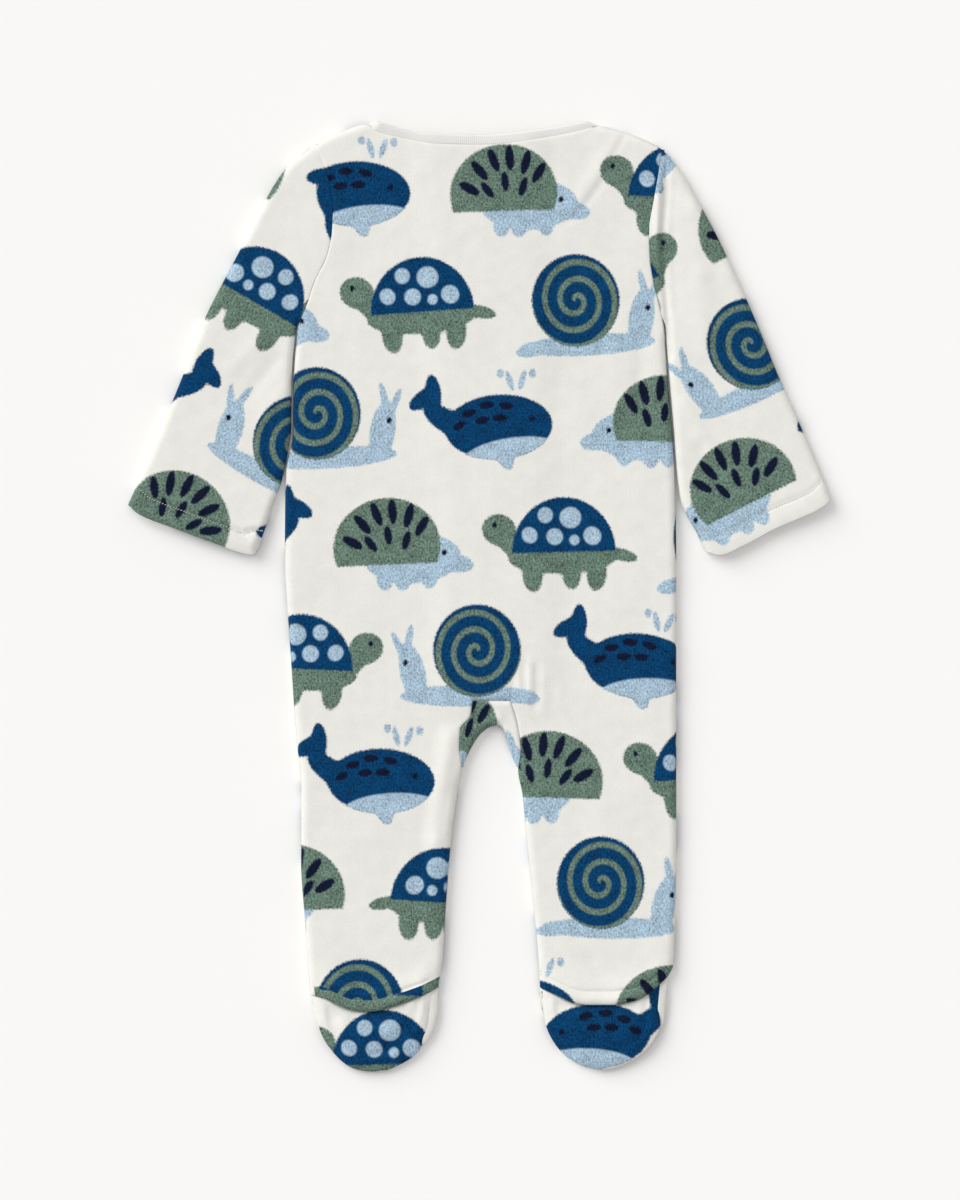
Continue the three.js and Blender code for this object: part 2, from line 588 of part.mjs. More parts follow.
function frontHalfSkins(name, i, k) {
  const startX = frontTopX(name, k);
  const top = frontTop(startX);
  const inLeg = i > frontCrotchRow;
  const footX = legColumn(side[name](ankleY), inner[name](ankleY), k, ankleY);
  const toeY = Math.min(toe[name](footX), heel[name](footX) - 2);
  const y = inLeg ? lerp(crotchY, toeY, frontLegShares[i - frontCrotchRow - 1]) : rowY(top, i, frontShares);
  const [outer, innerEdge] = [side[name](y), frontInner[name](y)];
  const sides = [sideTurn(y), smooth((-81 - y) / 6)];
  const towards = name === 'left' ? 1 : -1;
  const legX = legColumn(outer, innerEdge, k, y);
  const topShare = (startX - frontTopX(name, 0)) / (lapTopX[name] - frontTopX(name, 0));
  const share = rowShare(Math.min(i, frontCrotchRow), frontShares);
  const torsoX = k < edgeRows ? legX : lerp(startX, lerp(outer, innerEdge, topShare), smooth(3 * share));
  const settled = smooth(1.4 * share);
  const x = inLeg ? legX : lerp(torsoX, legX, settled);
  const shift = legColumn(outer, innerEdge, k, y, sides) - legX;
  const distances = [towards * (x - outer), towards * (innerEdge - x)];
  const shoulder = i < edgeRows ? shoulderTurn(startX) : 0;
  const fromTop = i < edgeRows ? edgeSteps[i] : edgeRadius;
  const toToe = inLeg ? y - toeY : edgeRadius;
  const flat = turn(distances[0], sides[0]) * turn(distances[1], sides[1])
    * turn(fromTop, shoulder) * turn(toToe);
  const innerFlat = innerTurn(distances[0], sides[0]) * innerTurn(distances[1], sides[1])
    * innerTurn(fromTop, shoulder) * innerTurn(toToe);
  const innerY = toToe < edgeRadius
    ? Math.max(y, toeY + Math.min(inset(toToe), 0.8 * (crotchY - toeY)))
    : y - shoulder * (inset(fromTop) - fromTop);
  const alongSide = k < edgeRows && !inLeg ? side[name](innerY) - outer : 0;
  return frontSkins([x, y], [x + shift + alongSide, innerY], flat, innerFlat, lift(name, x, y));
}
const frontRowCount = frontCrotchRow + frontLegShares.length + 1;
const frontWall = (name) => wallMesh(frontRowCount, legLast + 1, (i, k) => frontHalfSkins(name, i, k));

// The neck binding: one strip from the lap's upper end, round the back, to its under end.
const bindingShares = [0, 0.2, 0.5, 0.8, 1];
const bindingSkinDrop = [0.7, 0.2, 0, 0.3, 1.1];
const backEdge = tableLine(backNeckEdge, 'x', 'y');
const frontEdge = tableLine(frontNeckEdge, 'x', 'y');
function bindingStops() {
  const ends = [backNeckEdge[0].x, backNeckEdge[backNeckEdge.length - 1].x];
  const edgeX = (x) => lerp(ends[0], ends[1], (x - neckSeam.left) / (neckSeam.right - neckSeam.left));
  const stop = (x, isBack) => ({
    seam: [x, (isBack ? backTop : frontTop)(x)],
    edge: [edgeX(x), (isBack ? backEdge : frontEdge)(edgeX(x))],
    isBack,
    fromFold: Math.min(x - neckSeam.left, neckSeam.right - x),
  });
  const onSegment = (a, b, share) => ({
    seam: a.seam.map((v, n) => lerp(v, b.seam[n], share)),
    edge: a.edge.map((v, n) => lerp(v, b.edge[n], share)),
    isBack: b.isBack,
    fromFold: lerp(a.fromFold, b.fromFold, share),
  });
  const frontXs = (name) => Array.from(
    { length: legLast - frontNeckFrom + 1 },
    (_, n) => frontTopX(name, frontNeckFrom + n),
  );
  const leftStops = frontXs('left').reverse().map((x) => stop(x, false));
  const backStops = backTopX.slice(backNeckFrom, backNeckTo + 1).map((x) => stop(x, true));
  const rightStops = frontXs('right').map((x) => stop(x, false));
  const fold = (before, after) => edgeSteps.slice(1).reverse().map((d) => {
    const share = d / Math.abs(before.fromFold - after.fromFold);
    return onSegment(after, before, share);
  });
  const leftFold = leftStops.pop();
  const rightFold = rightStops.shift();
  return [
    ...leftStops,
    ...fold(leftStops[leftStops.length - 1], leftFold),
    { ...leftFold, fromFold: 0 },
    ...fold(backStops[1], backStops[0]).reverse(),
    ...backStops.slice(1, -1),
    ...fold(backStops[backStops.length - 2], backStops[backStops.length - 1]),
    { ...rightFold, fromFold: 0 },
    ...fold(rightStops[0], rightFold).reverse(),
    ...rightStops,
  ];
}
const stops = bindingStops();
const rightFoldStop = stops.length - (legLast - frontNeckFrom) - edgeRows;
function bindingSkins(i, j) {
  const stop = stops[j];
  const across = new THREE.Vector2(stop.edge[0] - stop.seam[0], stop.edge[1] - stop.seam[1]);
  const away = across.clone().normalize().multiplyScalar(seamGap + 0.15);
  const share = bindingShares[i];
  const plan = [
    stop.seam[0] + away.x + (across.x - away.x) * share,
    stop.seam[1] + away.y + (across.y - away.y) * share,
  ];
  const sign = stop.isBack ? 1 : -1;
  const flat = turn(stop.fromFold);
  const innerFlat = innerTurn(stop.fromFold);
  const inwards = (1 - turn(stop.fromFold)) * wall;
  const towards = stop.seam[0] < 0 ? 1 : -1;
  const innerPlan = stop.fromFold < edgeRadius
    ? [plan[0] + towards * inwards, plan[1] - 0.2 * inwards]
    : plan;
  const raised = j > rightFoldStop ? lift('right', stop.seam[0], middleTop.y) : 0;
  const bump = stop.isBack ? foldRise(...plan) : 0;
  const outerZ = midHeight + sign * (midHeight + bump - bindingSkinDrop[i]) * flat + raised;
  const innerZ = midHeight + sign * (midHeight - wall + bump + 0.5 * bindingSkinDrop[i]) * innerFlat + raised;
  return { top: [...plan, outerZ], under: [...innerPlan, innerZ] };
}
const bindingGeometry = wallMesh(bindingShares.length, stops.length, bindingSkins);

// A sleeve: a flattened tube from the armhole to its turned hem, one piece folded round.
function curveThrough(points) {
  const knots = points.map(([x, y]) => new THREE.Vector3(x, y, 0));
  const curve = new THREE.CatmullRomCurve3(knots, false, 'centripetal');
  return (share) => {
    const point = curve.getPointAt(clamp(share, 0, 1));
    return [point.x, point.y];
  };
}
function armholePoints(name) {
  const column = name === 'left' ? 0 : backLast;
  const outwards = name === 'left' ? -1 : 1;
  const body = Array.from({ length: underarmRow + 1 }, (_, i) => {
    const [x, y] = backTorsoSkins(i, column).top;
    return [x + outwards * (seamSlack + (i === underarmRow ? underarmEase : 0)), y];
  });
  body.reverse();
  const rising = edgeSteps.slice(1).map((d) => {
    const share = d / (body[1][1] - body[0][1]);
    return [lerp(body[0][0], body[1][0], share), lerp(body[0][1], body[1][1], share)];
  });
  return [body[0], ...rising, ...body.slice(1)];
}
function sleeveGeometry(name) {
  const armhole = armholePoints(name);
  const outwards = name === 'left' ? -1 : 1;
  const lines = sleeveLines[name];
  const beside = [];
  for (let y = armhole[0][1] - 6; y > lines.innerFromY; y -= 15) {
    beside.push([side[name](y) + outwards * bodyGap, y]);
  }
  const innerLine = curveThrough([armhole[0], ...beside, ...lines.inner]);
  const outerLine = curveThrough([armhole[armhole.length - 1], ...lines.outer]);
  const hemLine = curveThrough([
    lines.inner[lines.inner.length - 1], ...lines.hem, lines.outer[lines.outer.length - 1],
  ]);
  const last = armhole.length - 1;
  const chord = (a, b, share) => [lerp(a[0], b[0], share), lerp(a[1], b[1], share)];
  const armShare = armhole.map((point) => (
    (point[1] - armhole[0][1]) / (armhole[last][1] - armhole[0][1])
  ));
  // A point on the armhole, that far along it from one of its ends.
  const alongArmhole = (fromStart, amount) => {
    const points = fromStart ? armhole : [...armhole].reverse();
    let left = amount;
    for (let n = 0; n < points.length - 1; n += 1) {
      const step = Math.hypot(points[n + 1][0] - points[n][0], points[n + 1][1] - points[n][1]);
      if (left <= step) return chord(points[n], points[n + 1], left / step);
      left -= step;
    }
    return points[points.length - 1];
  };
  const place = (s, k, insets) => {
    const [from, to] = [innerLine(s), outerLine(s)];
    const width = Math.hypot(to[0] - from[0], to[1] - from[1]);
    const nearer = Math.min(k, last - k);
    const isEdge = nearer < edgeRows;
    const distance = isEdge ? edgeSteps[nearer] : edgeRadius;
    const amount = insets ? inset(distance) : distance;
    const share = isEdge ? (k < edgeRows ? amount / width : 1 - amount / width)
      : lerp(lastEdge / width, 1 - lastEdge / width, (armShare[k] - armShare[edgeRows - 1])
        / (armShare[last - edgeRows + 1] - armShare[edgeRows - 1]));
    const point = chord(from, to, share);
    const armChord = chord(innerLine(0), outerLine(0), share);
    const onArm = insets && isEdge ? alongArmhole(k < edgeRows, amount) : armhole[k];
    const hemChord = chord(innerLine(1), outerLine(1), share);
    const onHem = hemLine(share);
    const armPart = (1 - s) ** lerp(underarmFade, 1, smooth(armShare[k] / 0.35));
    const bulge = [0, 1].map((n) => armPart * (onArm[n] - armChord[n]) + s * (onHem[n] - hemChord[n]));
    return { plan: [point[0] + bulge[0], point[1] + bulge[1]], distance };
  };
  const loop = 2 * last;
  const skins = (i, j) => {
    const s = sleeveStations[i];
    const isTop = j <= last;
    const k = isTop ? j : loop - j;
    const outer = place(s, k, false);
    const innerPlace = place(s, k, true);
    const sign = isTop ? 1 : -1;
    const onFold = k === 0 || k === last;
    const flat = onFold ? 0 : turn(outer.distance);
    const innerFlat = onFold ? 0 : innerTurn(outer.distance);
    const bump = isTop ? foldRise(...outer.plan) : 0;
    const hem = isTop && s > sleeveHemShare && s < 1 ? hemRidge : 0;
    const seam = isTop && i === 0 ? seamDip : 0;
    const half = midHeight + bump + hem - seam;
    return {
      top: [...outer.plan, midHeight + sign * half * flat],
      under: [...innerPlace.plan, midHeight + sign * (midHeight - wall + bump) * innerFlat],
    };
  };
  return wallMesh(sleeveStations.length, loop, skins, () => true, true);
}

// Poppers: a cap flush with the outside of the upper lap, and a post that goes into the under lap.
const popperGeometry = () => {
  const p = popper;
  const profile = [
    [0, 0], [p.capRadius, 0], [p.capRadius, p.capHeight - p.bevel], [p.capRadius - p.bevel, p.capHeight],
    [p.postRadius, p.capHeight], [p.postRadius, p.postTop], [0, p.postTop],
  ].map(([r, z]) => new THREE.Vector2(r, z));
  return new THREE.LatheGeometry(profile, p.sides).rotateX(Math.PI / 2);
};
const popperPlaces = Array.from({ length: popperCount }, (_, n) => {
  const y = popperTopY - n * popperPitch;
  return { x: middleX(y), y };
});

// Solids that can be cut.
function toSolid(geometry) {
  const mesh = new wasm.Mesh({
    numProp: 3,
    vertProperties: new Float32Array(geometry.getAttribute('position').array),
    triVerts: new Uint32Array(geometry.getIndex().array),
  });
  mesh.merge();
  return new wasm.Manifold(mesh);
}
function toGeometry(solid) {
  const mesh = solid.getMesh();
  const geometry = new THREE.BufferGeometry();
  geometry.setAttribute('position', new THREE.BufferAttribute(new Float32Array(mesh.vertProperties), 3));
  geometry.setIndex(new THREE.BufferAttribute(new Uint32Array(mesh.triVerts), 1));
  geometry.computeVertexNormals();
  return geometry;
}
function cylinder(radius, low, high, x, y) {
  const geometry = new THREE.CylinderGeometry(radius, radius, high - low, popper.sides).rotateX(Math.PI / 2);
  geometry.translate(x, y, (low + high) / 2);
  geometry.deleteAttribute('normal');
  geometry.deleteAttribute('uv');
  return geometry;
}
function cutForPoppers(geometry, cuts) {
  let solid = toSolid(geometry);
  for (const { x, y } of popperPlaces) {
    for (const { radius, low, high } of cuts) {
      solid = solid.subtract(toSolid(cylinder(radius, low, high, x, y)));
    }
  }
  return toGeometry(solid);
}
const postCut = popper.postRadius + seamGap;
const upperLapCuts = [
  { radius: popper.capRadius + seamGap, low: -1, high: popper.capHeight + seamGap },
  { radius: postCut, low: 0, high: lapLift },
];
const underLapCuts = [{ radius: postCut, low: lapLift - 1, high: popper.postTop + seamGap }];

const plush = (color) => new THREE.MeshStandardMaterial({ color, roughness: 0.95, metalness: 0 });
const printedPlush = plush(0xefeee6);
const printedSole = plush(0x2f5f86);
const rib = plush(0xe1e1dc);
const popperPlastic = new THREE.MeshStandardMaterial({ color: 0xe6e5de, roughness: 0.45, metalness: 0 });

const sleepsuit = new THREE.Group();
function add(name, geometry, material) {
  const mesh = new THREE.Mesh(geometry, material);
  mesh.name = name;
  sleepsuit.add(mesh);
  return mesh;
}
add('back', backGeometry, printedPlush);
add('crotch_gusset', gussetGeometry, printedPlush);
add('front_left', cutForPoppers(frontWall('left'), upperLapCuts), printedPlush);
add('front_right', cutForPoppers(frontWall('right'), underLapCuts), printedPlush);
add('neck_binding', bindingGeometry, rib);
for (const name of ['left', 'right']) {
  add(`sleeve_${name}`, sleeveGeometry(name), printedPlush);
  add(`sole_${name}`, soleGeometry(name), printedSole);
}
popperPlaces.forEach(({ x, y }, n) => {
  add(`popper_${n + 1}`, popperGeometry(), popperPlastic).position.set(x, y, 0);
});

export default sleepsuit;
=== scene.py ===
# %% [markdown]
# # A baby's sleepsuit, laid on its front
# The real one is cut from thin printed plush: one back with both legs, two front halves, two sleeves,
# two soles, a crotch patch and a strip of rib round the neck. The rigid frame holds these pieces as plain
# walls. Here each becomes soft cloth of its own, with the same edges, and with pile, seams and creases.

# %% Load the frame
import json
import math

import bmesh
import bpy
import numpy as np
from mathutils import Matrix, Vector

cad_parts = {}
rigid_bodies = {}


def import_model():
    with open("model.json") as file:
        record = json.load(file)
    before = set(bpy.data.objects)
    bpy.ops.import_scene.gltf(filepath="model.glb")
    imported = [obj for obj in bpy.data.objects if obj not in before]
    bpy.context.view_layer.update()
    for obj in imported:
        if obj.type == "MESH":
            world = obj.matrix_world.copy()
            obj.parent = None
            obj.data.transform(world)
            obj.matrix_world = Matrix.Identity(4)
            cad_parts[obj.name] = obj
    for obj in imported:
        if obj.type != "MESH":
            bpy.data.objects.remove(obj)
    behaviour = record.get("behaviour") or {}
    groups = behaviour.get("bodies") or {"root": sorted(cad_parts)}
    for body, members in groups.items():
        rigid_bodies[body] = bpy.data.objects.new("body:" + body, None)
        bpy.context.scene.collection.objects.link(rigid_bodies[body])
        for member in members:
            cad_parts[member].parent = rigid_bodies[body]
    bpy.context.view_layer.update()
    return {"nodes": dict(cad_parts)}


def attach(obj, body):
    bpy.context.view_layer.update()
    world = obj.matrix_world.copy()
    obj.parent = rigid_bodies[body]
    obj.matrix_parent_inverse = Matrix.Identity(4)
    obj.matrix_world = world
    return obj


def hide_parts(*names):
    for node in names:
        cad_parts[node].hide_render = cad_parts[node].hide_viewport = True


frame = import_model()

print("frame nodes:", len(frame["nodes"]))

# %% [markdown]
# ## The camera
# The photograph looks straight down on a pale table. A long lens from 3 metres up keeps the outline true,
# and the frame's height is the garment's length over its share of the picture.

# %% The view from above
MM = 0.001
IMAGE_SIZE = (960, 1200)
MM_PER_PIXEL = 0.633
VIEW_CENTRE = (0.3, -2.7)
CAMERA_HEIGHT = 3.0
SENSOR = 36.0

camera_data = bpy.data.cameras.new("camera")
camera_data.sensor_width = SENSOR
camera_data.lens = SENSOR * CAMERA_HEIGHT / (IMAGE_SIZE[1] * MM_PER_PIXEL * MM)
camera = bpy.data.objects.new("camera", camera_data)
camera.location = (VIEW_CENTRE[0] * MM, VIEW_CENTRE[1] * MM, CAMERA_HEIGHT)
bpy.context.collection.objects.link(camera)
bpy.context.scene.camera = camera
print("lens:", round(camera_data.lens, 1), "mm")

# %% [markdown]
# ## The light
# A big soft lamp at the upper left draws the seams and gives the soft shadow at the lower right. A weaker
# one overhead and a pale sky fill the shadows, so that the light cloth stays light all over. Sun lamps serve
# for both, because their light doesn't fade across the garment, and their angle sets how soft a shadow is.


# %% Lamps and sky
def lamp(name, direction, strength, angle, colour=(1, 1, 1)):
    """A far, soft lamp. direction points from the garment to it, and angle is how wide it looks."""
    data = bpy.data.lights.new(name, "SUN")
    data.energy = strength
    data.angle = math.radians(angle)
    data.color = colour
    made = bpy.data.objects.new(name, data)
    made.rotation_euler = Vector(direction).to_track_quat("Z", "Y").to_euler()
    bpy.context.collection.objects.link(made)
    print(name, "strength:", strength)


lamp("key_lamp", (-1.0, 0.74, 0.80), strength=2.18, angle=46, colour=(1.0, 1.0, 0.98))
lamp("top_lamp", (0.1, 0.2, 1.0), strength=0.43, angle=60)

SKY_COLOUR = (1.0, 0.955, 0.965, 1)
SKY_STRENGTH = 0.515
sky = bpy.data.worlds.new("pale_sky")
sky.use_nodes = True
sky.node_tree.nodes["Background"].inputs["Color"].default_value = SKY_COLOUR
sky.node_tree.nodes["Background"].inputs["Strength"].default_value = SKY_STRENGTH
bpy.context.scene.world = sky
bpy.context.scene.view_settings.view_transform = "Standard"

# %% [markdown]
# ## The table
# A plain pale table, a little rough, so that it takes the soft shadow and nothing else. One large face is
# enough for it. It lies a fifth of a millimetre low, so that its face and the cloth's never share a plane.


# %% How materials begin, and how meshes end
def new_material(name, values):
    """A material, its node tree and its main shader, which gets the values for its named inputs."""
    material = bpy.data.materials.new(name)
    material.use_nodes = True
    shader = material.node_tree.nodes["Principled BSDF"]
    for input_name, value in values.items():
        shader.inputs[input_name].default_value = value
    return material, material.node_tree, shader


def add_to_scene(bm, name, material):
    """Turns a finished bmesh into an object at the origin."""
    mesh = bpy.data.meshes.new(name)
    bm.to_mesh(mesh)
    bm.free()
    mesh.shade_smooth()
    mesh.materials.append(material)
    made = bpy.data.objects.new(name, mesh)
    bpy.context.collection.objects.link(made)
    print(name, "faces:", len(mesh.polygons))
    return made


# %% Make the table
TABLE_HALF_WIDTH = 3.0
TABLE_DROP = 0.2
pale_table = new_material("pale_table", {
    "Base Color": (0.93, 0.939, 0.925, 1), "Roughness": 0.9, "Specular IOR Level": 0.1,
})[0]
bm = bmesh.new()
bmesh.ops.create_grid(bm, x_segments=1, y_segments=1, size=TABLE_HALF_WIDTH)
bmesh.ops.translate(bm, verts=bm.verts, vec=(0, 0, -TABLE_DROP * MM))
table = add_to_scene(bm, "table", pale_table)

# %% [markdown]
# ## Lines of the cut
# A tailor's pattern is a few curves. Each one here is a smooth line through a short table, in millimetres
# from the middle of the garment's footprint, and all pieces are worked out from the same tables, so that
# their edges meet at the seams.


# %% Small tools for curves
def blend(low, high, share):
    return low + (high - low) * share


def smooth(share):
    share = np.clip(share, 0, 1)
    return share * share * (3 - 2 * share)


def rounded(share):
    """The height of a quarter circle: 0 on a turned edge, and 1 past its radius."""
    return np.sqrt(1 - (1 - np.clip(share, 0, 1)) ** 2)


def crowded(share, how_much):
    """Even shares from 0 to 1, crowded towards both ends."""
    return share - how_much * np.sin(2 * np.pi * share) / (2 * np.pi)


def bunched(share, how_much):
    """Even shares from 0 to 1, bunched towards 1, or towards 0 where how_much is below nought."""
    return share + how_much * np.sin(np.pi * share) / np.pi


def hump(distance, width):
    """1 at no distance, and falling away smoothly on both sides."""
    return np.exp(-((distance / width) ** 2))


def curve(points):
    """A smooth line through (place, value) points, with no overshoot."""
    at, value = np.array(sorted(points), dtype=float).T
    step = np.diff(at)
    secant = np.diff(value) / step
    slope = np.empty_like(value)
    slope[0], slope[-1] = secant[0], secant[-1]
    product = secant[:-1] * secant[1:]
    total = np.where(product > 0, secant[:-1] + secant[1:], 1)
    slope[1:-1] = np.where(product > 0, 2 * product / total, 0)

    def value_at(where):
        where = np.clip(where, at[0], at[-1])
        i = np.clip(np.searchsorted(at, where) - 1, 0, len(step) - 1)
        t = (where - at[i]) / step[i]
        bend = slope[i] * t * (1 - t) ** 2 - slope[i + 1] * t * t * (1 - t)
        return blend(value[i], value[i + 1], t * t * (3 - 2 * t)) + step[i] * bend

    return value_at


def path(points):
    """A smooth line on the table through (x, y) points: a share of its length gives its x and y."""
    points = np.array(points, dtype=float)
    steps = np.hypot(*np.diff(points, axis=0).T)
    along = np.concatenate([[0], np.cumsum(steps)]) / steps.sum()
    x_at = curve(list(zip(along, points[:, 0])))
    y_at = curve(list(zip(along, points[:, 1])))
    return lambda share: (x_at(share), y_at(share))


# %% [markdown]
# ## Two layers
# Lying flat, the garment is two layers of plush with a little air between them, so all its heights follow
# from how thick the cloth is and how much air it holds. They meet at the seams, half way up.

# %% Heights of the two layers, in millimetres
WALL = 2.6
CLOTH = 2.2
HOLLOW = 2.0
SEAM_GAP = 0.3
EDGE_RADIUS = 5.0
TOP = 2 * WALL + HOLLOW
MIDDLE = TOP / 2
BACK_RIM = MIDDLE + SEAM_GAP / 2
FRONT_RIM = MIDDLE - SEAM_GAP / 2
print("seams at", MIDDLE, "mm and the back's top at", TOP, "mm")

# %% [markdown]
# ## The outline
# The body and the legs are given by their left and right edges at a few levels, because no edge of theirs
# turns back on itself. The two sides differ a little, as they do on a real garment that was laid by hand.

# %% Edges of the body and the legs
SHOULDER_Y = 283
SHOULDER_LEFT, SHOULDER_RIGHT = -103.3, 115.5
ARMHOLE_TOP_Y = {"left": 285.5, "right": 282.1}
UNDERARM_Y = 170.8
CROTCH_Y = -66.5
ANKLE_Y = -250
FOOT_WIDTH = 81

side_levels = [  # level, left edge, right edge
    (SHOULDER_Y, SHOULDER_LEFT, SHOULDER_RIGHT), (266, -96.7, 113), (248, -92.6, 109.8),
    (231, -93.2, 107.2), (214, -96.7, 107.6), (200, -103.6, 109.6), (184, -109.1, 113.4),
    (169, -114.6, 116.4), (140, -117.5, 118.6), (100, -118.2, 122), (79, -122.6, 123.2),
    (22, -123.1, 124.4), (-28, -120, 124.4), (-91, -115.7, 124.4), (-121, -112.8, 124.4),
    (-168, -112.8, 124.4), (-212, -109.8, 123.4), (-234, -108.5, 122.3), (-242, -107.8, 118.9),
    (-253, -106.9, 118.3), (-264, -105.2, 117),
]
inner_levels = [
    (CROTCH_Y, -4.3, 19.5), (-76, -5.5, 22.6), (-84, -12, 24.4), (-97, -12.6, 26), (-103, -11.6, 25.8),
    (-110, -11.4, 24.4), (-126, -14.2, 27.2), (-155, -18, 29.8), (-205, -21.8, 35.1), (-231, -23.4, 37.3),
    (-249, -26, 38.3), (-260, -26, 39.1),
]


def both_sides(levels):
    """A curve for the left edge and one for the right, from rows of level, left and right."""
    return {
        "left": curve([(y, left) for y, left, _ in levels]),
        "right": curve([(y, right) for y, _, right in levels]),
    }


side = both_sides(side_levels)
inner = both_sides(inner_levels)
print("width at the hips:", round(float(side["right"](0) - side["left"](0)), 1), "mm")

# %% The neck, the shoulders, the heels and the toes
NECK_LEFT, NECK_RIGHT = -70.3, 75.0
shoulder_left = [(SHOULDER_LEFT, ARMHOLE_TOP_Y["left"]), (-88.5, 293.1), (NECK_LEFT, 298.3)]
shoulder_right = [
    (NECK_RIGHT, 297.1), (86.7, 294.4), (105.8, 287.6), (SHOULDER_RIGHT, ARMHOLE_TOP_Y["right"]),
]
back_top = curve(shoulder_left + [
    (-65.7, 293.9), (-50.4, 289.8), (-24.4, 285.4), (0, 284.9), (14.9, 285.7), (38.9, 289), (63.6, 293.8),
] + shoulder_right)
front_top = curve(shoulder_left + [
    (-62, 284), (-48, 270), (-25, 260.5), (2, 257.5), (29, 260.5), (52, 269), (66, 282.5),
] + shoulder_right)
heel = {
    "left": curve([
        (-106.9, -252), (-97.3, -254), (-89, -258.8), (-78.8, -262.2), (-68.5, -262.5), (-58.2, -260.1),
        (-37.7, -253.3), (-26, -247.5),
    ]),
    "right": curve([
        (38.3, -247.5), (51, -253.2), (58.4, -256.8), (69.3, -258.3), (83.7, -258.3), (94.6, -256.5),
        (104.1, -253.2), (111.4, -247.4), (119, -240),
    ]),
}
toe_points = {
    "left": [
        (-106.9, -254), (-105.2, -264.2), (-103.5, -272.5), (-100.1, -280.8), (-95.9, -286.3),
        (-89.1, -293.9), (-78.8, -299.8), (-67.8, -300.9), (-51.3, -295.7), (-37.7, -286.9),
        (-31.4, -279.3), (-27.7, -270.4), (-26, -260.1),
    ],
    "right": [
        (38.3, -250), (39.1, -259.7), (40.8, -270.6), (44.5, -279.3), (49.6, -286.7), (56.9, -293.2),
        (65.5, -297.5), (78, -300), (91, -296.8), (101.9, -291), (107.7, -285.9), (112.9, -278.7),
        (116.2, -270.6), (118.3, -252.5), (119, -243),
    ],
}


def round_outline(points):
    """The same outline with its small corners rubbed off, as a height for each x."""
    x, y = path(points)(np.linspace(0, 1, 401))
    weight = np.hanning(61)
    longer = (np.pad(part, 30, mode="reflect", reflect_type="odd") for part in (x, y))
    x, y = (np.convolve(part, weight / weight.sum(), "valid") for part in longer)
    order = np.argsort(x)
    return lambda where: np.interp(where, x[order], y[order])


toe = {name: round_outline(points) for name, points in toe_points.items()}
print("toes reach down to:", {name: round(float(toe[name](-68 if name == "left" else 78))) for name in toe})

# %% [markdown]
# ## Soft creases
# Plush is thick and light, so it shows few creases, and they are shallow troughs and ridges that die away
# at both ends. Each is a straight stroke that raises or lowers the upper layer. A few slow waves of
# different lengths are added, because cloth that has been smoothed by hand is never quite flat.

# %% Creases and slow waves
creases = [  # from x, from y, to x, to y, rise, width
    (92, 291, 84, 278, -0.8, 3), (84, 278, 78, 262, -0.8, 3), (78, 262, 66, 246, -0.7, 3),
    (66, 246, 54, 234, -0.6, 3), (88, 288, 56, 240, 0.8, 8),
    (103, 166, 101, 140, -0.8, 9), (101, 140, 103, 112, -0.9, 8),
    (36, -44, 35, -73, -1.1, 4), (28, -42, 29, -62, -0.9, 4), (32, -40, 32, -66, 0.9, 4),
    (22, -50, 20, -66, -0.8, 4), (44, -52, 46, -70, -0.6, 5),
    (-57, -104, -53, -130, -1.0, 5), (-52, -102, -48, -126, 0.6, 6),
    (-18, -84, -24, -124, 2.2, 10), (-25, -124, -29, -160, 1.2, 10),
    (-6, -86, 13, -78, 1.6, 8), (-27, -150, -31, -205, 0.8, 8), (-34, -120, -38, -190, -0.6, 9),
    (118.1, 270.5, 117.4, 247.4, -1.7, 3.4), (117.4, 247.4, 115.5, 228.4, -1.7, 3.4),
    (115.5, 230, 117, 200, -1.7, 3.2), (117, 200, 121, 150, -1.4, 3.4),
    (113, 266, 111.5, 212, 1.3, 4), (122, 262, 121, 226, -0.7, 7), (121, 228, 124, 180, -0.6, 7),
    (134, 250, 140, 200, 0.9, 11), (139, 204, 143, 150, 0.7, 11),
    (-126, 152, -150, 120, -0.9, 7), (-130, 168, -160, 142, 0.9, 9), (-124, 132, -140, 104, 0.6, 7),
    (129, 146, 158, 116, -0.9, 7), (128, 124, 150, 88, 0.9, 8), (138, 96, 152, 74, -0.6, 7),
    (70, -150, 92, -168, 0.5, 12), (84, -180, 104, -214, -0.5, 12), (60, -212, 74, -236, -0.6, 10),
    (-60, 40, -84, 12, 0.4, 16), (30, 60, 60, 30, -0.4, 16), (-20, 140, 10, 120, 0.4, 18),
]
wave_rng = np.random.default_rng(11)
slow_waves = [
    (height, 2 * np.pi / length, wave_rng.uniform(0, 2 * np.pi), wave_rng.uniform(0, 2 * np.pi))
    for height, length in [(0.15, 71), (0.11, 49), (0.07, 34), (0.04, 23), (0.02, 15)]
    for _ in range(3)
]
print("creases:", len(creases), "waves:", len(slow_waves))


# %% How they raise the cloth
LAP_TOP, LAP_FOOT = (2.0, 262.0), (11.5, -58.0)
LAP_RISE = 1.4
LAP_FLAT = 26  # how far from its middle the lap raises the back in full
LAP_FALL = 22  # and over how much further it dies away
LAP_END_Y = -82
LAP_END_FALL = 16


def middle_x(y):
    return blend(LAP_TOP[0], LAP_FOOT[0], (LAP_TOP[1] - y) / (LAP_TOP[1] - LAP_FOOT[1]))


def waves(x, y):
    total = 0
    for height, turns, angle, phase in slow_waves:
        total = total + height * np.sin(turns * (x * math.cos(angle) + y * math.sin(angle)) + phase)
    return total


def relief_of(strokes, x, y):
    """How far a table of creases raises the cloth."""
    rise = 0 * x
    for x1, y1, x2, y2, height, width in strokes:
        dx, dy = x2 - x1, y2 - y1
        length = math.hypot(dx, dy)
        along = ((x - x1) * dx + (y - y1) * dy) / length
        aside = np.abs((x - x1) * dy - (y - y1) * dx) / length
        ends = smooth(along / width + 0.5) * smooth((length - along) / width + 0.5)
        rise = rise + height * ends * hump(aside, 0.6 * width)
    return rise


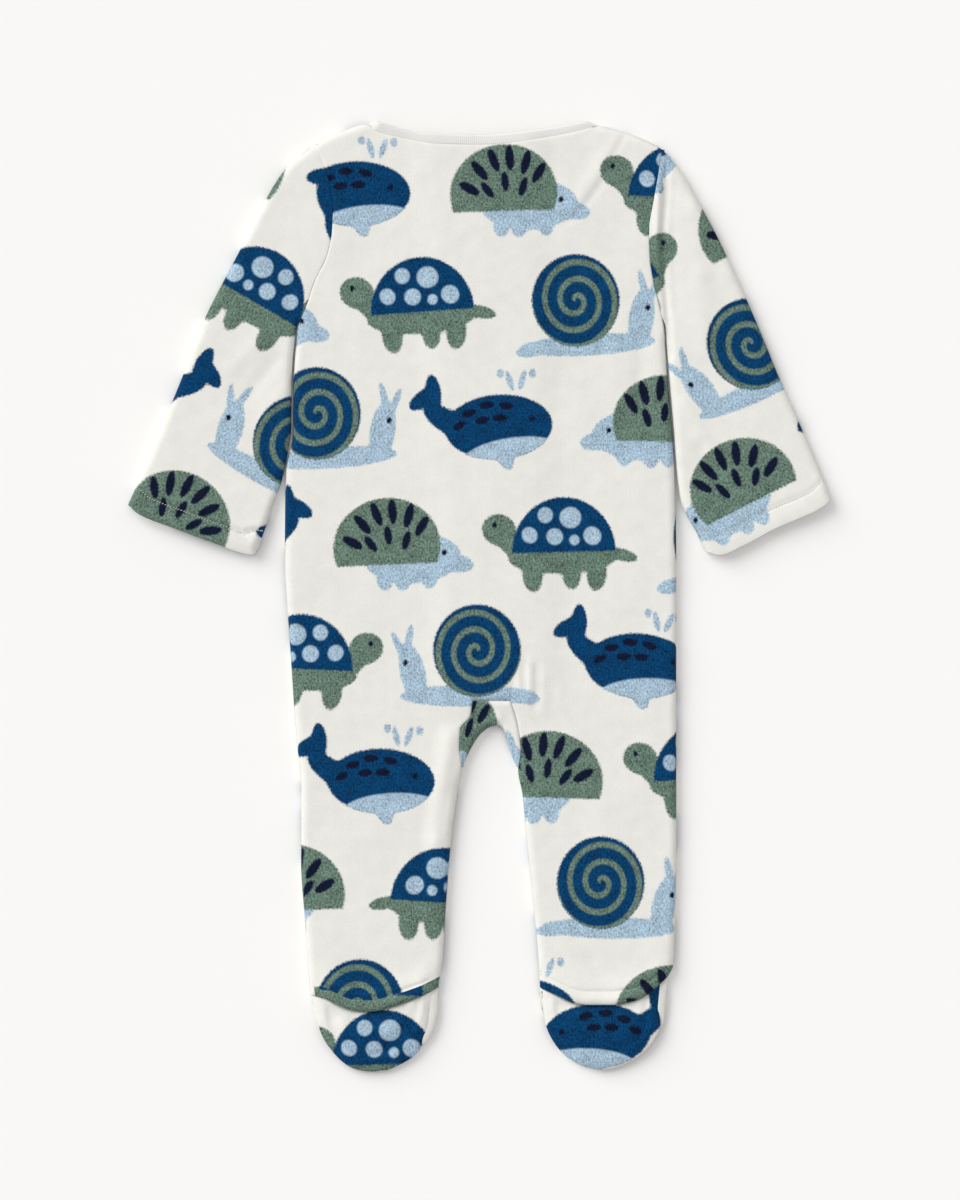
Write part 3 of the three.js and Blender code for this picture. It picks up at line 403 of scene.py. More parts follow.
def relief(x, y):
    """How far creases, waves and the lap underneath raise the upper layer."""
    rise = waves(x, y) + relief_of(creases, x, y)
    from_lap = np.abs(x - middle_x(y)) - LAP_FLAT
    lap = LAP_RISE * smooth(1 - from_lap / LAP_FALL) * smooth((y - LAP_END_Y) / LAP_END_FALL)
    return np.maximum(rise, SEAM_GAP - HOLLOW) + lap


# %% [markdown]
# ## One way to make every piece
# A piece of cloth is a grid whose corners are moved to their places, which keeps its weave running true and
# gives it a flat pattern for the print. It then gets its thickness from a Solidify modifier, inwards, so
# that its outer face stays on the frame's. A box or a sculpt would have no such flat pattern.


# %% From a grid to a shape
def cloth(across, along, place, keep=None, weld=False):
    """A grid moved into its shape. place() turns shares of the grid into points and flat places, in mm."""
    bm = bmesh.new()
    bmesh.ops.create_grid(bm, x_segments=across, y_segments=along, size=0.5)
    grid = np.array([v.co[:2] for v in bm.verts]) + 0.5
    points, flat = place(grid[:, 0], grid[:, 1])
    flat_of = {}
    for vert, point, spot in zip(bm.verts, np.array(points).T, np.array(flat).T):
        vert.co = point * MM
        flat_of[vert.index] = spot * MM
    uv = bm.loops.layers.uv.new("flat")
    for face in bm.faces:
        for loop in face.loops:
            loop[uv].uv = flat_of[loop.vert.index]
    if keep is not None:
        middles = [sum((Vector((*grid[v.index], 0)) for v in f.verts), Vector()) / 4 for f in bm.faces]
        cut = [f for f, middle in zip(bm.faces, middles) if not keep(middle.x, middle.y)]
        bmesh.ops.delete(bm, geom=cut, context="FACES")
    if weld:
        bmesh.ops.remove_doubles(bm, verts=bm.verts, dist=0.01 * MM)
    return bm


# %% From a shape to cloth
def finish_cloth(bm, name, material, up=True, thickness=CLOTH):
    """Turns the grid's faces up or down, or leaves them where up is None, and makes the grid cloth."""
    bm.normal_update()
    rise = sum(face.normal.z * face.calc_area() for face in bm.faces)
    if up is not None and (rise > 0) != up:
        bmesh.ops.reverse_faces(bm, faces=bm.faces)
    piece = add_to_scene(bm, name, material)
    wall = piece.modifiers.new("thickness", "SOLIDIFY")
    wall.thickness = thickness * MM
    wall.offset = -1
    wall.use_rim = True
    wall.use_quality_normals = True
    return piece


# %% How large a piece was cut
AREA_SHARE = 0.9999  # keeps a full rectangle's area, once rounded, within its width times its length


def cut_size(mesh):
    """The flat pattern's width, length and area, in metres."""
    spots = np.array([tuple(loop.uv) for loop in mesh.uv_layers["flat"].data])
    area = 0
    for face in mesh.polygons:
        ring = spots[face.loop_start:face.loop_start + face.loop_total]
        after = np.roll(ring, -1, axis=0)
        area += abs(np.sum(ring[:, 0] * after[:, 1] - after[:, 0] * ring[:, 1])) / 2
    return *np.ptp(spots, axis=0), area * AREA_SHARE


def declare(piece, slot, *nodes, turned_in=0.0, with_pieces=()):
    """Hangs the piece on the frame's root body, hides the frame's parts that it replaces, and prints how
    large it was cut.
    """
    width, length, area = (round(float(size), 5) for size in cut_size(piece.data))
    length += turned_in * MM
    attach(piece, "root")
    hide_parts(*nodes)
    print(piece.name, "cut from", width, "x", length, "m, area", area)


# %% [markdown]
# ## Plush and its print
# Plush is a knit whose loops are cut to a short pile: it scatters light, looks paler at a glancing
# angle, and keeps a faint grid of the knit. Its print is soft at the edges, because the fibres lean.
# The motifs are drawn in the shader from ellipses on the flat pattern, so that they stay sharp at any size
# and are cut at the seams as real cloth is. They stand in a brick lattice, one kind to a cell.

# %% The print's colours
IVORY = (0.784, 0.795, 0.748)
PETROL = (0.001, 0.044, 0.130)
SAGE = (0.126, 0.196, 0.154)
PALE_BLUE = (0.362, 0.500, 0.612)
NAVY = (0.004, 0.008, 0.028)
print("the print's strongest colour:", PETROL)


# %% Short words for shader nodes
def node(tree, kind, *inputs, **settings):
    """A node with its settings, and its inputs in order. None leaves an input as it is."""
    made = tree.nodes.new(kind)
    for name, value in settings.items():
        setattr(made, name, value)
    for socket, value in zip(made.inputs, inputs):
        if isinstance(value, bpy.types.NodeSocket):
            tree.links.new(value, socket)
        elif value is not None:
            socket.default_value = value
    return made.outputs[0]


def calc(tree, how, *numbers):
    return node(tree, "ShaderNodeMath", *numbers, operation=how)


def vector_calc(tree, how, *vectors):
    made = node(tree, "ShaderNodeVectorMath", *vectors, operation=how).node
    return made.outputs["Value"] if how == "LENGTH" else made.outputs[0]


def mix_colour(tree, share, below, above):
    """below where share is 0, and above where it is 1."""
    other_kinds = [None] * 5
    made = node(tree, "ShaderNodeMix", share, *other_kinds, below, above, data_type="RGBA").node
    return made.outputs[2]


def rgb(colour):
    return (*colour, 1)


def axes(tree, vector):
    """The X, Y and Z of a vector."""
    return node(tree, "ShaderNodeSeparateXYZ", vector).node.outputs


def centred(tree, share, scale):
    """A share from 0 to 1, moved to lie round nought, and scaled."""
    return calc(tree, "MULTIPLY", calc(tree, "SUBTRACT", share, 0.5), scale)


def varied(tree, base, share, amount):
    """The base, more where the share is above a half and less where it is below."""
    return calc(tree, "MULTIPLY_ADD", calc(tree, "SUBTRACT", share, 0.5), amount, base)


def flat_in_mm(tree):
    """A place on the flat pattern, in millimetres."""
    in_mm = vector_calc(tree, "SCALE", node(tree, "ShaderNodeUVMap", uv_map="flat"))
    in_mm.node.inputs["Scale"].default_value = 1 / MM
    return in_mm


def raise_surface(tree, shader, height, strength, depth):
    """Lets a height shade the surface as if it were raised by up to depth millimetres."""
    bump = tree.nodes.new("ShaderNodeBump")
    bump.inputs["Strength"].default_value = strength
    bump.inputs["Distance"].default_value = depth * MM
    tree.links.new(height, bump.inputs["Height"])
    tree.links.new(bump.outputs["Normal"], shader.inputs["Normal"])


# %% [markdown]
# ## Four motifs
# Each motif is a few ellipses. Five numbers hold one of them: its middle, measured from the middle of its
# cell, half its width and half its height, in millimetres, and its turn in degrees. Ellipses run softly
# together where they touch, so a leg or a fin needs no outline of its own.

# %% Turtle and snail
turtle = {
    "body": [
        (0, -9, 30, 8, 0), (35, 6, 9.5, 8, 10), (27, -2, 11, 6, 40), (-33, -8, 9, 3.2, 14),
        (-19, -18, 5.5, 8, 8), (-5, -18, 5, 7, 0), (17, -18, 5.5, 8, -8),
    ],
    "shell": [(-1, -6, 29, 28, 0)],
    "shell_floor": -6,
    "spots": [
        (-17, 2, 5, 4.6, 20), (-5, 11.5, 6, 5.4, 0), (9, 13, 4.2, 4, 0), (4, 2, 4.6, 4.2, 0),
        (18, 3, 4.4, 4, 30), (-7, 0, 2.8, 2.6, 0),
    ],
    "eye": [(37.5, 8.5, 1.3, 1.5, 0)],
}
snail = {
    "body": [
        (1, -21, 37, 5.5, 0), (31, -9, 7, 15, -14), (33, 8, 1.9, 7.5, 12), (39, 5, 1.9, 7.5, -28),
        (-32, -22, 8, 3.5, 8),
    ],
    "shell": [(-5, 2, 24.5, 23.5, 0)],
    "eye": [(35, -4, 1.4, 1.6, 0)],
}
COIL_PITCH = 8.6
COIL_HALF_WIDTH = 1.5
print("ellipses in the turtle's body:", len(turtle["body"]), "and in the snail's:", len(snail["body"]))

# %% Whale and hedgehog
whale = {
    "body": [
        (4, -5, 30, 16.5, 0), (-25, 0, 14, 6, -32), (-37, 12, 9, 4.2, 28), (-31, 15, 9, 4.2, 95),
        (6, -20, 4, 7, 24),
    ],
    "belly": [(10, -20, 28, 9, 4)],
    "dashes": [
        (-12, 3, 4, 1.9, 12), (-2, 6.5, 4, 1.9, 0), (9, 5.5, 4, 1.9, -12), (-5, -1, 4, 1.9, 6),
        (5, -0.5, 4, 1.9, 0), (-18, -3, 3.8, 1.8, 24),
    ],
    "spout": [(12, 18, 1.7, 5.2, 16), (19, 18, 1.7, 5.2, -22), (7, 22, 2, 2.2, 0), (25, 21, 2, 2.2, 0)],
    "eye": [(23, -2, 1.5, 1.6, 0)],
}
hedgehog = {
    "body": [
        (8, -9, 27, 13, 0), (33, -13, 9, 4.4, -8), (-8, -20, 4.2, 5, 0), (2, -20.5, 4.2, 5, 0),
        (17, -20, 4.2, 5, 0),
    ],
    "coat": [(-6, -3, 30, 25, 4)],
    "coat_floor": -12,
    "quills": [
        (-25, 0, 2.5, 6.2, 62), (-19, 9, 2.5, 6.4, 42), (-11, 14, 2.5, 6.4, 22), (-2, 15, 2.5, 6.4, 2),
        (7, 12.5, 2.5, 6.4, -18), (14, 7, 2.4, 6, -36), (-15, -1, 2.2, 5, 40), (-5, 3, 2.2, 5, 6),
        (5, 0, 2.2, 5, -20),
    ],
    "eye": [(26, -7, 1.4, 1.5, 0)],
}
print("ellipses in the whale's body:", len(whale["body"]), "and in the hedgehog's:", len(hedgehog["body"]))

# %% [markdown]
# ## Distances instead of pictures
# The shader works out how far a place lies from each ellipse. The motif's edge is where that distance is
# nought, so it is never blocky, and it can be frayed by adding a little noise to the distance.

# %% Distances to motifs
EDGE_BLUR = 0.7
ROUND_ENOUGH = 1.8  # up to this ratio of its axes, an ellipse's distance can be taken as a circle's


def ellipse(tree, spot, x, y, half_width, half_height, turn):
    """How far a spot lies outside one ellipse, in millimetres, and below nought inside it."""
    axis_lengths = (half_width, half_height, 1)
    turned = (0, 0, math.radians(turn))
    local = node(tree, "ShaderNodeMapping", spot, (x, y, 0), turned, axis_lengths, vector_type="TEXTURE")
    size = min(half_width, half_height)
    out = vector_calc(tree, "LENGTH", local)
    if max(half_width, half_height) < ROUND_ENOUGH * size:
        return calc(tree, "MULTIPLY_ADD", out, size, -size)
    slope = vector_calc(tree, "LENGTH", vector_calc(tree, "DIVIDE", local, axis_lengths))
    beyond = calc(tree, "MULTIPLY_ADD", out, out, calc(tree, "MULTIPLY", out, -1.0))
    return calc(tree, "DIVIDE", beyond, slope)


def joined(tree, distances, softness):
    """The nearest of several distances, with the hollows between them filled softly."""
    nearest = distances[0]
    for distance in distances[1:]:
        nearest = calc(tree, "SMOOTH_MIN", nearest, distance, softness)
    return nearest


def inside(tree, distance, only_where):
    """1 inside a shape that is printed here, and 0 outside it, with the soft edge of printed pile."""
    blur = (-EDGE_BLUR, EDGE_BLUR, 1.0, 0.0)
    share = node(tree, "ShaderNodeMapRange", distance, *blur, interpolation_type="SMOOTHSTEP")
    return calc(tree, "MULTIPLY", share, only_where)


def coil(tree, spot):
    """The distance to the line that winds out on the snail's shell."""
    centre_x, centre_y = snail["shell"][0][:2]
    local = vector_calc(tree, "SUBTRACT", spot, (centre_x, centre_y, 0))
    x, y, _ = axes(tree, local)
    angle = calc(tree, "ARCTAN2", y, x)
    out = calc(tree, "DIVIDE", vector_calc(tree, "LENGTH", local), COIL_PITCH)
    winding = calc(tree, "FRACT", calc(tree, "MULTIPLY_ADD", angle, 0.5 / math.pi, out))
    aside = calc(tree, "ABSOLUTE", calc(tree, "SUBTRACT", winding, 0.5))
    return calc(tree, "MULTIPLY_ADD", aside, COIL_PITCH, -COIL_HALF_WIDTH)


# %% [markdown]
# ## The brick lattice
# Dividing a place by the size of a cell gives its row, its column and where it lies in the cell. Each row
# is shifted against the last, as bricks are. A noise texture that is read once to a cell rolls dice for it,
# which flip, tilt and shift its motif a little, so that the repeat doesn't show.

# %% Where a place lies in its cell
CELL = (104.0, 74.0)
ROW_SHIFT = 0.43
MOTIF_STRETCH = (1.13, 1.24, 1.0)
MOTIF_TILT = 0.16
MOTIF_SHIFT = 6.0
DICE_SEED = 0.37


def cell_of(tree, flat):
    """Which kind of motif a flat place's cell holds, and where the place lies on it."""
    flat_x, flat_y, _ = axes(tree, flat)
    rows = calc(tree, "DIVIDE", flat_y, CELL[1])
    row = calc(tree, "FLOOR", rows)
    shifted = calc(tree, "MULTIPLY_ADD", row, ROW_SHIFT, calc(tree, "DIVIDE", flat_x, CELL[0]))
    column = calc(tree, "FLOOR", shifted)
    local_x = centred(tree, calc(tree, "FRACT", shifted), CELL[0])
    local_y = centred(tree, calc(tree, "FRACT", rows), CELL[1])
    which_cell = node(tree, "ShaderNodeCombineXYZ", column, row, DICE_SEED)
    chance = node(tree, "ShaderNodeTexWhiteNoise", which_cell, noise_dimensions="3D").node
    flip_die, tilt_die, shift_die = axes(tree, chance.outputs["Color"])
    flip = calc(tree, "MULTIPLY_ADD", calc(tree, "GREATER_THAN", flip_die, 0.5), 2.0, -1.0)
    spot = node(tree, "ShaderNodeCombineXYZ", local_x, local_y)
    tilt = centred(tree, tilt_die, MOTIF_TILT)
    spot = node(tree, "ShaderNodeVectorRotate", spot, (0, 0, 0), (0, 0, 1), tilt)
    shift = node(tree, "ShaderNodeCombineXYZ", 0.0, centred(tree, shift_die, MOTIF_SHIFT), 0.0)
    spot = vector_calc(tree, "ADD", spot, shift)
    spot = vector_calc(tree, "MULTIPLY", spot, node(tree, "ShaderNodeCombineXYZ", flip, 1.0, 1.0))
    spot = vector_calc(tree, "DIVIDE", spot, MOTIF_STRETCH)
    kind = calc(tree, "FLOORED_MODULO", calc(tree, "MULTIPLY_ADD", row, 2.0, column), 4.0)
    return kind, spot


print("one motif to each", CELL[0], "x", CELL[1], "mm")


# %% The print, layer by layer
def print_colour(tree, flat, fray):
    """The print's colour at a flat place, in millimetres. fray is how far the pile drags its edges."""
    kind, spot = cell_of(tree, flat)
    motifs = [turtle, snail, whale, hedgehog]
    is_kind = [calc(tree, "COMPARE", kind, float(number), 0.5) for number in range(len(motifs))]

    def shape(ellipses, softness=0.01):
        parts = [ellipse(tree, spot, *numbers) for numbers in ellipses]
        return calc(tree, "ADD", joined(tree, parts, softness), fray)

    def above(distance, level):
        _, height, _ = axes(tree, spot)
        below = calc(tree, "SUBTRACT", level, height)
        return calc(tree, "MAXIMUM", distance, calc(tree, "ADD", below, fray))

    def both(distance, other):
        return calc(tree, "MAXIMUM", distance, other)

    snail_shell = shape(snail["shell"])
    whale_body = shape(whale["body"], 4.0)
    layers = [  # which motif, the distance to the layer's edge, and its colour
        (turtle, shape(turtle["body"], 4.0), SAGE),
        (turtle, above(shape(turtle["shell"]), turtle["shell_floor"]), PETROL),
        (turtle, shape(turtle["spots"]), PALE_BLUE),
        (turtle, shape(turtle["eye"]), NAVY),
        (snail, shape(snail["body"], 3.0), PALE_BLUE),
        (snail, snail_shell, PETROL),
        (snail, both(snail_shell, coil(tree, spot)), SAGE),
        (snail, shape(snail["eye"]), NAVY),
        (whale, whale_body, PETROL),
        (whale, both(whale_body, shape(whale["belly"])), PALE_BLUE),
        (whale, shape(whale["dashes"]), NAVY),
        (whale, shape(whale["spout"]), PALE_BLUE),
        (whale, shape(whale["eye"]), NAVY),
        (hedgehog, shape(hedgehog["body"], 3.0), PALE_BLUE),
        (hedgehog, above(shape(hedgehog["coat"]), hedgehog["coat_floor"]), SAGE),
        (hedgehog, shape(hedgehog["quills"]), NAVY),
        (hedgehog, shape(hedgehog["eye"]), NAVY),
    ]
    colour = rgb(IVORY)
    for motif, distance, tint in layers:
        share = inside(tree, distance, is_kind[motifs.index(motif)])
        colour = mix_colour(tree, share, colour, rgb(tint))
    return colour


# %% [markdown]
# ## Pile over a knit
# Noises of several sizes make the fibres and where they lie, and a wave makes the faint wales of the knit
# below them. They darken and lighten the colour and raise the surface a little. The dark parts of a print
# show their pile more than the light ones, so the grain is stronger where the colour's red is low.

# %% Plush
PRINT_GRAIN, IVORY_GRAIN = 4.0, 0.18
DARK_RED = 0.12
FRAY = 1.3
BRUSHED, BRUSHED_PER_GRAIN = 0.06, 0.15
WALE_SHADE = 0.025


def noise(tree, where, scale, detail, roughness):
    return node(tree, "ShaderNodeTexNoise", where, None, scale, detail, roughness, noise_dimensions="2D")


def stripes(tree, where, scale, distortion):
    """Soft bands across the cloth's width, for wales and ribs."""
    made = node(
        tree, "ShaderNodeTexWave", where, scale, distortion, 1.0, 1.0, 0.5,
        wave_type="BANDS", bands_direction="X", wave_profile="SIN",
    )
    return made.node.outputs["Fac"]


def plush(name):
    """Short printed pile over a knit ground. It reads the flat pattern."""
    material, tree, shader = new_material(name, {
        "Roughness": 0.92, "Specular IOR Level": 0.08, "Sheen Weight": 0.06, "Sheen Roughness": 0.45,
    })
    in_mm = flat_in_mm(tree)
    fibre = noise(tree, in_mm, 0.75, 3.0, 0.7)
    lean = node(tree, "ShaderNodeMapping", in_mm, (0, 0, 0), (0, 0, 0.6), (1.0, 0.45, 1.0))
    strands = noise(tree, lean, 1.1, 2.0, 0.6)
    clumps = noise(tree, in_mm, 0.13, 2.0, 0.5)
    wales = stripes(tree, in_mm, 0.19, 2.5)
    pile = calc(tree, "ADD", calc(tree, "MULTIPLY", fibre, 0.6), calc(tree, "MULTIPLY", strands, 0.4))
    colour = print_colour(tree, in_mm, centred(tree, fibre, FRAY))
    red = node(tree, "ShaderNodeSeparateColor", colour)
    grain = node(tree, "ShaderNodeMapRange", red, DARK_RED, IVORY[0], PRINT_GRAIN, IVORY_GRAIN)
    brushed = calc(tree, "MULTIPLY_ADD", grain, BRUSHED_PER_GRAIN, BRUSHED)
    light = varied(tree, 1.0, pile, grain)
    light = varied(tree, light, wales, WALE_SHADE)
    light = varied(tree, light, clumps, brushed)
    tint = tree.nodes.new("ShaderNodeHueSaturation")
    tree.links.new(light, tint.inputs["Value"])
    tree.links.new(colour, tint.inputs["Color"])
    tree.links.new(tint.outputs["Color"], shader.inputs["Base Color"])
    height = calc(tree, "MULTIPLY_ADD", wales, 0.10, pile)
    height = calc(tree, "MULTIPLY_ADD", clumps, 0.6, height)
    raise_surface(tree, shader, height, strength=0.22, depth=0.5)
    print(name, "nodes:", len(tree.nodes))
    return material


printed_plush = plush("printed_plush")

# %% [markdown]
# ## The back
# The back is one piece, from the neck to both heels, with no seam down its middle. Its grid has as many
# columns as two legs and the gap between them, so that the legs part at the crotch without a join. The heel
# edges roll over: the last rows go up over a lip, and back in under it.

# %% The back's columns and rows
CROWDING = 0.6
LEG_CELLS = 46
GAP_CELLS = 6
BACK_CELLS = 2 * LEG_CELLS + GAP_CELLS
TORSO_ROWS = 138
LEG_ROWS = 66
BACK_CELLS_TO_RIGHT_LEG = LEG_CELLS + GAP_CELLS
print("the back's columns:", BACK_CELLS)

# %% The rolled heel edge
HEEL_RISE = 24.0
ROW_DROP = 0.9  # how far each row of the turned-in part lies below the last, where the edge isn't rolled
lip_profile = [  # how far above the heel seam, and how high
    (24, 7.2), (20, 7.4), (16.5, 7.8), (13.5, 8.4), (11, 8.9), (9.6, 8.9), (8.6, 8.3), (7.9, 8.4),
    (7, 9.4), (6.95, 9.42), (5.8, 10.2), (4.4, 10.7), (2.9, 10.8), (1.5, 10.4), (0.5, 9.7), (0, 8.9),
    (0.3, 8.1), (1.4, 7.7), (3.4, 7.6), (5.4, 7.6),
]
LIP_ROWS = len(lip_profile) - 1
BACK_ROWS = TORSO_ROWS + LEG_ROWS + LIP_ROWS
lip_from, lip_high = np.array(lip_profile, dtype=float).T
lip_row = np.arange(LIP_ROWS + 1)
LIP_EDGE_ROW = int(np.argmin(lip_from))
past_edge = np.maximum(lip_row - LIP_EDGE_ROW, 0)
plain_from = np.where(past_edge > 0, 0, lip_from)
plain_high = TOP - ROW_DROP * past_edge
lip_length = np.concatenate([[0], np.cumsum(np.hypot(np.diff(lip_from), np.diff(lip_high)))])
LIP_BAND_ROW = 8.5  # past it lies the lip's band, whose print doesn't follow the leg's
LIP_BAND_X = -104.5
LIP_PRINT = {"left": (45, 58), "right": (0, 0)}
print("rows of the rolled edge:", LIP_ROWS)


# %% How edges turn down
def side_turn(y):
    """How far the sides are turned down: not beside the armholes, and fully below them."""
    return smooth((UNDERARM_Y - 0.8 - y) / 12)


def shoulder_turn(x):
    """How far the shoulders are turned down: not at the neck, and fully beside it."""
    from_left, from_right = x - NECK_LEFT, NECK_RIGHT - x
    return smooth(1 - from_left / EDGE_RADIUS) + smooth(1 - from_right / EDGE_RADIUS)


def turn(distance, strength=1.0, radius=EDGE_RADIUS):
    return 1 - strength * (1 - rounded(distance / radius))


def distance_to(line, x, y):
    """How far points lie from a line, which is given by close points."""
    line_x, line_y = (np.asarray(part).reshape(-1, 1) for part in line)
    return np.sqrt(((line_x - x) ** 2 + (line_y - y) ** 2).min(axis=0))


def seam_dip(distance, depth=0.9, width=2.5):
    """How far the cloth dips beside a seam."""
    return depth * (1 - rounded(distance / width))


# %% Places on the torso
NECK_DIP = (0.25, 2.6)  # depth and width
ARMHOLE_DIP = (0.4, 2.4)


def torso_place(j, i):
    """Plan and height of a corner of the torso, from its column and row."""
    top_share = crowded(j / BACK_CELLS, CROWDING)
    top_x = blend(SHOULDER_LEFT, SHOULDER_RIGHT, top_share)
    row = bunched(np.clip(i / TORSO_ROWS, 0, 1), -0.45)
    y = blend(back_top(top_x), CROTCH_Y, row)
    hip = {name: side[name](CROTCH_Y) for name in side}
    notch = {name: inner[name](CROTCH_Y) for name in inner}
    left_leg = blend(hip["left"], notch["left"], crowded(np.minimum(j / LEG_CELLS, 1), CROWDING))
    right_share = crowded(np.clip((BACK_CELLS - j) / LEG_CELLS, 0, 1), CROWDING)
    right_leg = blend(hip["right"], notch["right"], right_share)
    gap = blend(notch["left"], notch["right"], (j - LEG_CELLS) / GAP_CELLS)
    foot = np.where(j <= LEG_CELLS, left_leg, np.where(j >= BACK_CELLS_TO_RIGHT_LEG, right_leg, gap))
    foot_share = (foot - hip["left"]) / (hip["right"] - hip["left"])
    share = blend(top_share, foot_share, smooth(row))
    left, right = side["left"](y), side["right"](y)
    x = blend(left, right, share)
    to_side = np.minimum(x - left, right - x)
    turned = side_turn(y)
    to_top = back_top(top_x) - y
    shoulder = shoulder_turn(top_x)
    flat = turn(to_side, turned) * turn(to_top, shoulder)
    neck_dip = (1 - shoulder) * seam_dip(to_top, *NECK_DIP)
    dip = np.maximum((1 - turned) * seam_dip(to_side, *ARMHOLE_DIP), neck_dip)
    beside_gap = np.maximum(np.maximum(notch["left"] - x, x - notch["right"]), 0)
    dip = np.maximum(dip, seam_dip(np.hypot(beside_gap, y - CROTCH_Y)))
    height = TOP + relief(x, y)
    return x, y, BACK_RIM + (height - BACK_RIM) * flat - dip * flat, x, y


# %% Places on a leg
ROLL_START, ROLL_SPREAD = 3.0, 10  # how far from the leg's sides the heel edge starts to roll over
NOTCH_END_Y = -106


def leg_place(name, share, row, lip):
    """The same for a leg. share runs from its outer to its inner edge, row from crotch to heel."""
    heel_x = blend(side[name](ANKLE_Y), inner[name](ANKLE_Y), share)
    heel_y = heel[name](heel_x)
    y_leg = blend(CROTCH_Y, heel_y + HEEL_RISE, row)
    from_sides = np.minimum(share, 1 - share) * FOOT_WIDTH
    roll = smooth((from_sides - ROLL_START) / ROLL_SPREAD)
    above_seam = blend(np.interp(lip, lip_row, plain_from), np.interp(lip, lip_row, lip_from), roll)
    y = np.where(lip > 0, heel_y + above_seam, y_leg)
    outer, inner_edge = side[name](y), inner[name](y)
    x = blend(outer, inner_edge, share)
    to_outer, to_inner = np.abs(x - outer), np.abs(inner_edge - x)
    inner_turned = smooth((NOTCH_END_Y - y) / 10)
    flat = turn(to_outer) * turn(to_inner, inner_turned)
    uneven = 1 + 0.10 * np.sin(0.21 * x + 1.3) + 0.06 * np.sin(0.47 * x)
    rolled = (np.interp(lip, lip_row, lip_high) - TOP) * uneven
    plain = np.interp(lip, lip_row, plain_high) - TOP
    height = TOP + relief(x, y) + blend(plain, rolled, roll) * (lip > 0)
    z = BACK_RIM + (height - BACK_RIM) * flat - (1 - inner_turned) * seam_dip(to_inner) * flat
    flat_y = np.where(lip > 0, heel_y + HEEL_RISE - np.interp(lip, lip_row, lip_length), y_leg)
    on_band = (lip > LIP_BAND_ROW) & (x > LIP_BAND_X)
    jump_x, jump_y = LIP_PRINT[name]
    return x, y, z, x + jump_x * on_band, flat_y + jump_y * on_band


# %% Make the back
BETWEEN_LEGS_X = 5


def back_place(s, t):
    j = np.rint(s * BACK_CELLS)
    i = np.rint((1 - t) * BACK_ROWS)
    places = torso_place(j, i)
    row = np.clip((i - TORSO_ROWS) / LEG_ROWS, 0, 1)
    lip = np.clip(i - TORSO_ROWS - LEG_ROWS, 0, LIP_ROWS)
    in_leg = i > TORSO_ROWS
    for name, share in [("left", j / LEG_CELLS), ("right", (BACK_CELLS - j) / LEG_CELLS)]:
        share = crowded(np.clip(share, 0, 1), CROWDING)
        here = in_leg & ((j <= LEG_CELLS) if name == "left" else (j >= BACK_CELLS_TO_RIGHT_LEG))
        leg = leg_place(name, share, row, lip)
        places = [np.where(here, new, old) for new, old in zip(leg, places)]
    x, y, z, flat_x, flat_y = places
    turned_down = (TOP - 1 - np.minimum(z, TOP - 1)) * (lip <= LIP_EDGE_ROW)
    outwards = np.where(x < BETWEEN_LEGS_X, -1, 1)
    return (x, y, z), (flat_x + outwards * turned_down, flat_y)


def in_back(s, t):
    in_gap = LEG_CELLS < s * BACK_CELLS < BACK_CELLS_TO_RIGHT_LEG
    return not (in_gap and (1 - t) * BACK_ROWS > TORSO_ROWS)


bm = cloth(BACK_CELLS, BACK_ROWS, back_place, in_back)
back = finish_cloth(bm, "back_cloth", printed_plush)
declare(back, "printed_plush", "back")

# %% [markdown]
# ## The sleeves
# A sleeve is one flat piece folded round, seamed under the arm, and set into the armhole. Lying flat it is
# a tube of two layers. Its grid goes once round that tube, and follows the body's curve at the top and the
# slant of the hem at the wrist. The hem is turned in, which makes it thicker up to its row of stitches.

# %% Lines of the sleeves
sleeve_lines = {
    "left": {
        "inner": [(-125.6, 70.3), (-129.8, 59.5), (-134.4, 45.7), (-140.2, 29)],
        "outer": [
            (-111.8, 279.4), (-122.1, 270.5), (-129.6, 260.1), (-136.5, 247.8), (-151.6, 218.3),
            (-175.7, 170.8), (-187.1, 140.4), (-209.2, 87.2), (-222.2, 57.5),
        ],
        "hem": [(-143.3, 25.9), (-169.5, 33.9), (-191.2, 41.9), (-215, 51.4)],
        "beside_to": 80, "out": -1, "print_at": (390, 287), "hem_relief": 1.0,
    },
    "right": {
        "inner": [(126.9, 60.9), (131.9, 49.2), (137, 40.2), (142, 28.6)],
        "outer": [
            (121, 275.9), (127.8, 267.7), (133.3, 258.1), (151.4, 224.8), (176.8, 168.8),
            (188.6, 139.9), (212.4, 85.7), (222.2, 61.5),
        ],
        "hem": [(151.2, 25.7), (166.7, 31.8), (186.1, 42.1), (217, 56.4)],
        "beside_to": 75, "out": 1, "print_at": (310, 250), "hem_relief": 0.3,
    },
}
ARMHOLE_OVERLAP = 0.3
print("sleeves' outer folds end at:", {name: lines["outer"][-1] for name, lines in sleeve_lines.items()})


# %% Paths along the sleeves' edges
def sleeve_edges(name):
    """Paths along the body and the inner fold, the outer fold, the hem and the inner fold alone."""
    lines = sleeve_lines[name]
    out = lines["out"]
    underarm = (float(side[name](UNDERARM_Y)) + out, UNDERARM_Y)
    shoulder = (float(side[name](SHOULDER_Y)) + out * 0.5, ARMHOLE_TOP_Y[name])
    beside = [
        (float(side[name](y)) + out, float(y)) for y in np.arange(UNDERARM_Y - 6, lines["beside_to"], -15)
    ]
    armhole = [
        (float(side[name](y)) - out * ARMHOLE_OVERLAP, float(y))
        for y in np.linspace(shoulder[1], UNDERARM_Y + 6, 16)
    ]
    body_path = path([*armhole, underarm, *beside, *lines["inner"]])
    outer_path = path([(armhole[0][0] + out, armhole[0][1] - 0.6), *lines["outer"]])
    hem_path = path([lines["inner"][-1], *lines["hem"], lines["outer"][-1]])
    fold_path = path([underarm, *beside, *lines["inner"]])
    return body_path, outer_path, hem_path, fold_path, shoulder


# %% Places on a sleeve
HEM_WIDTH = 12.0


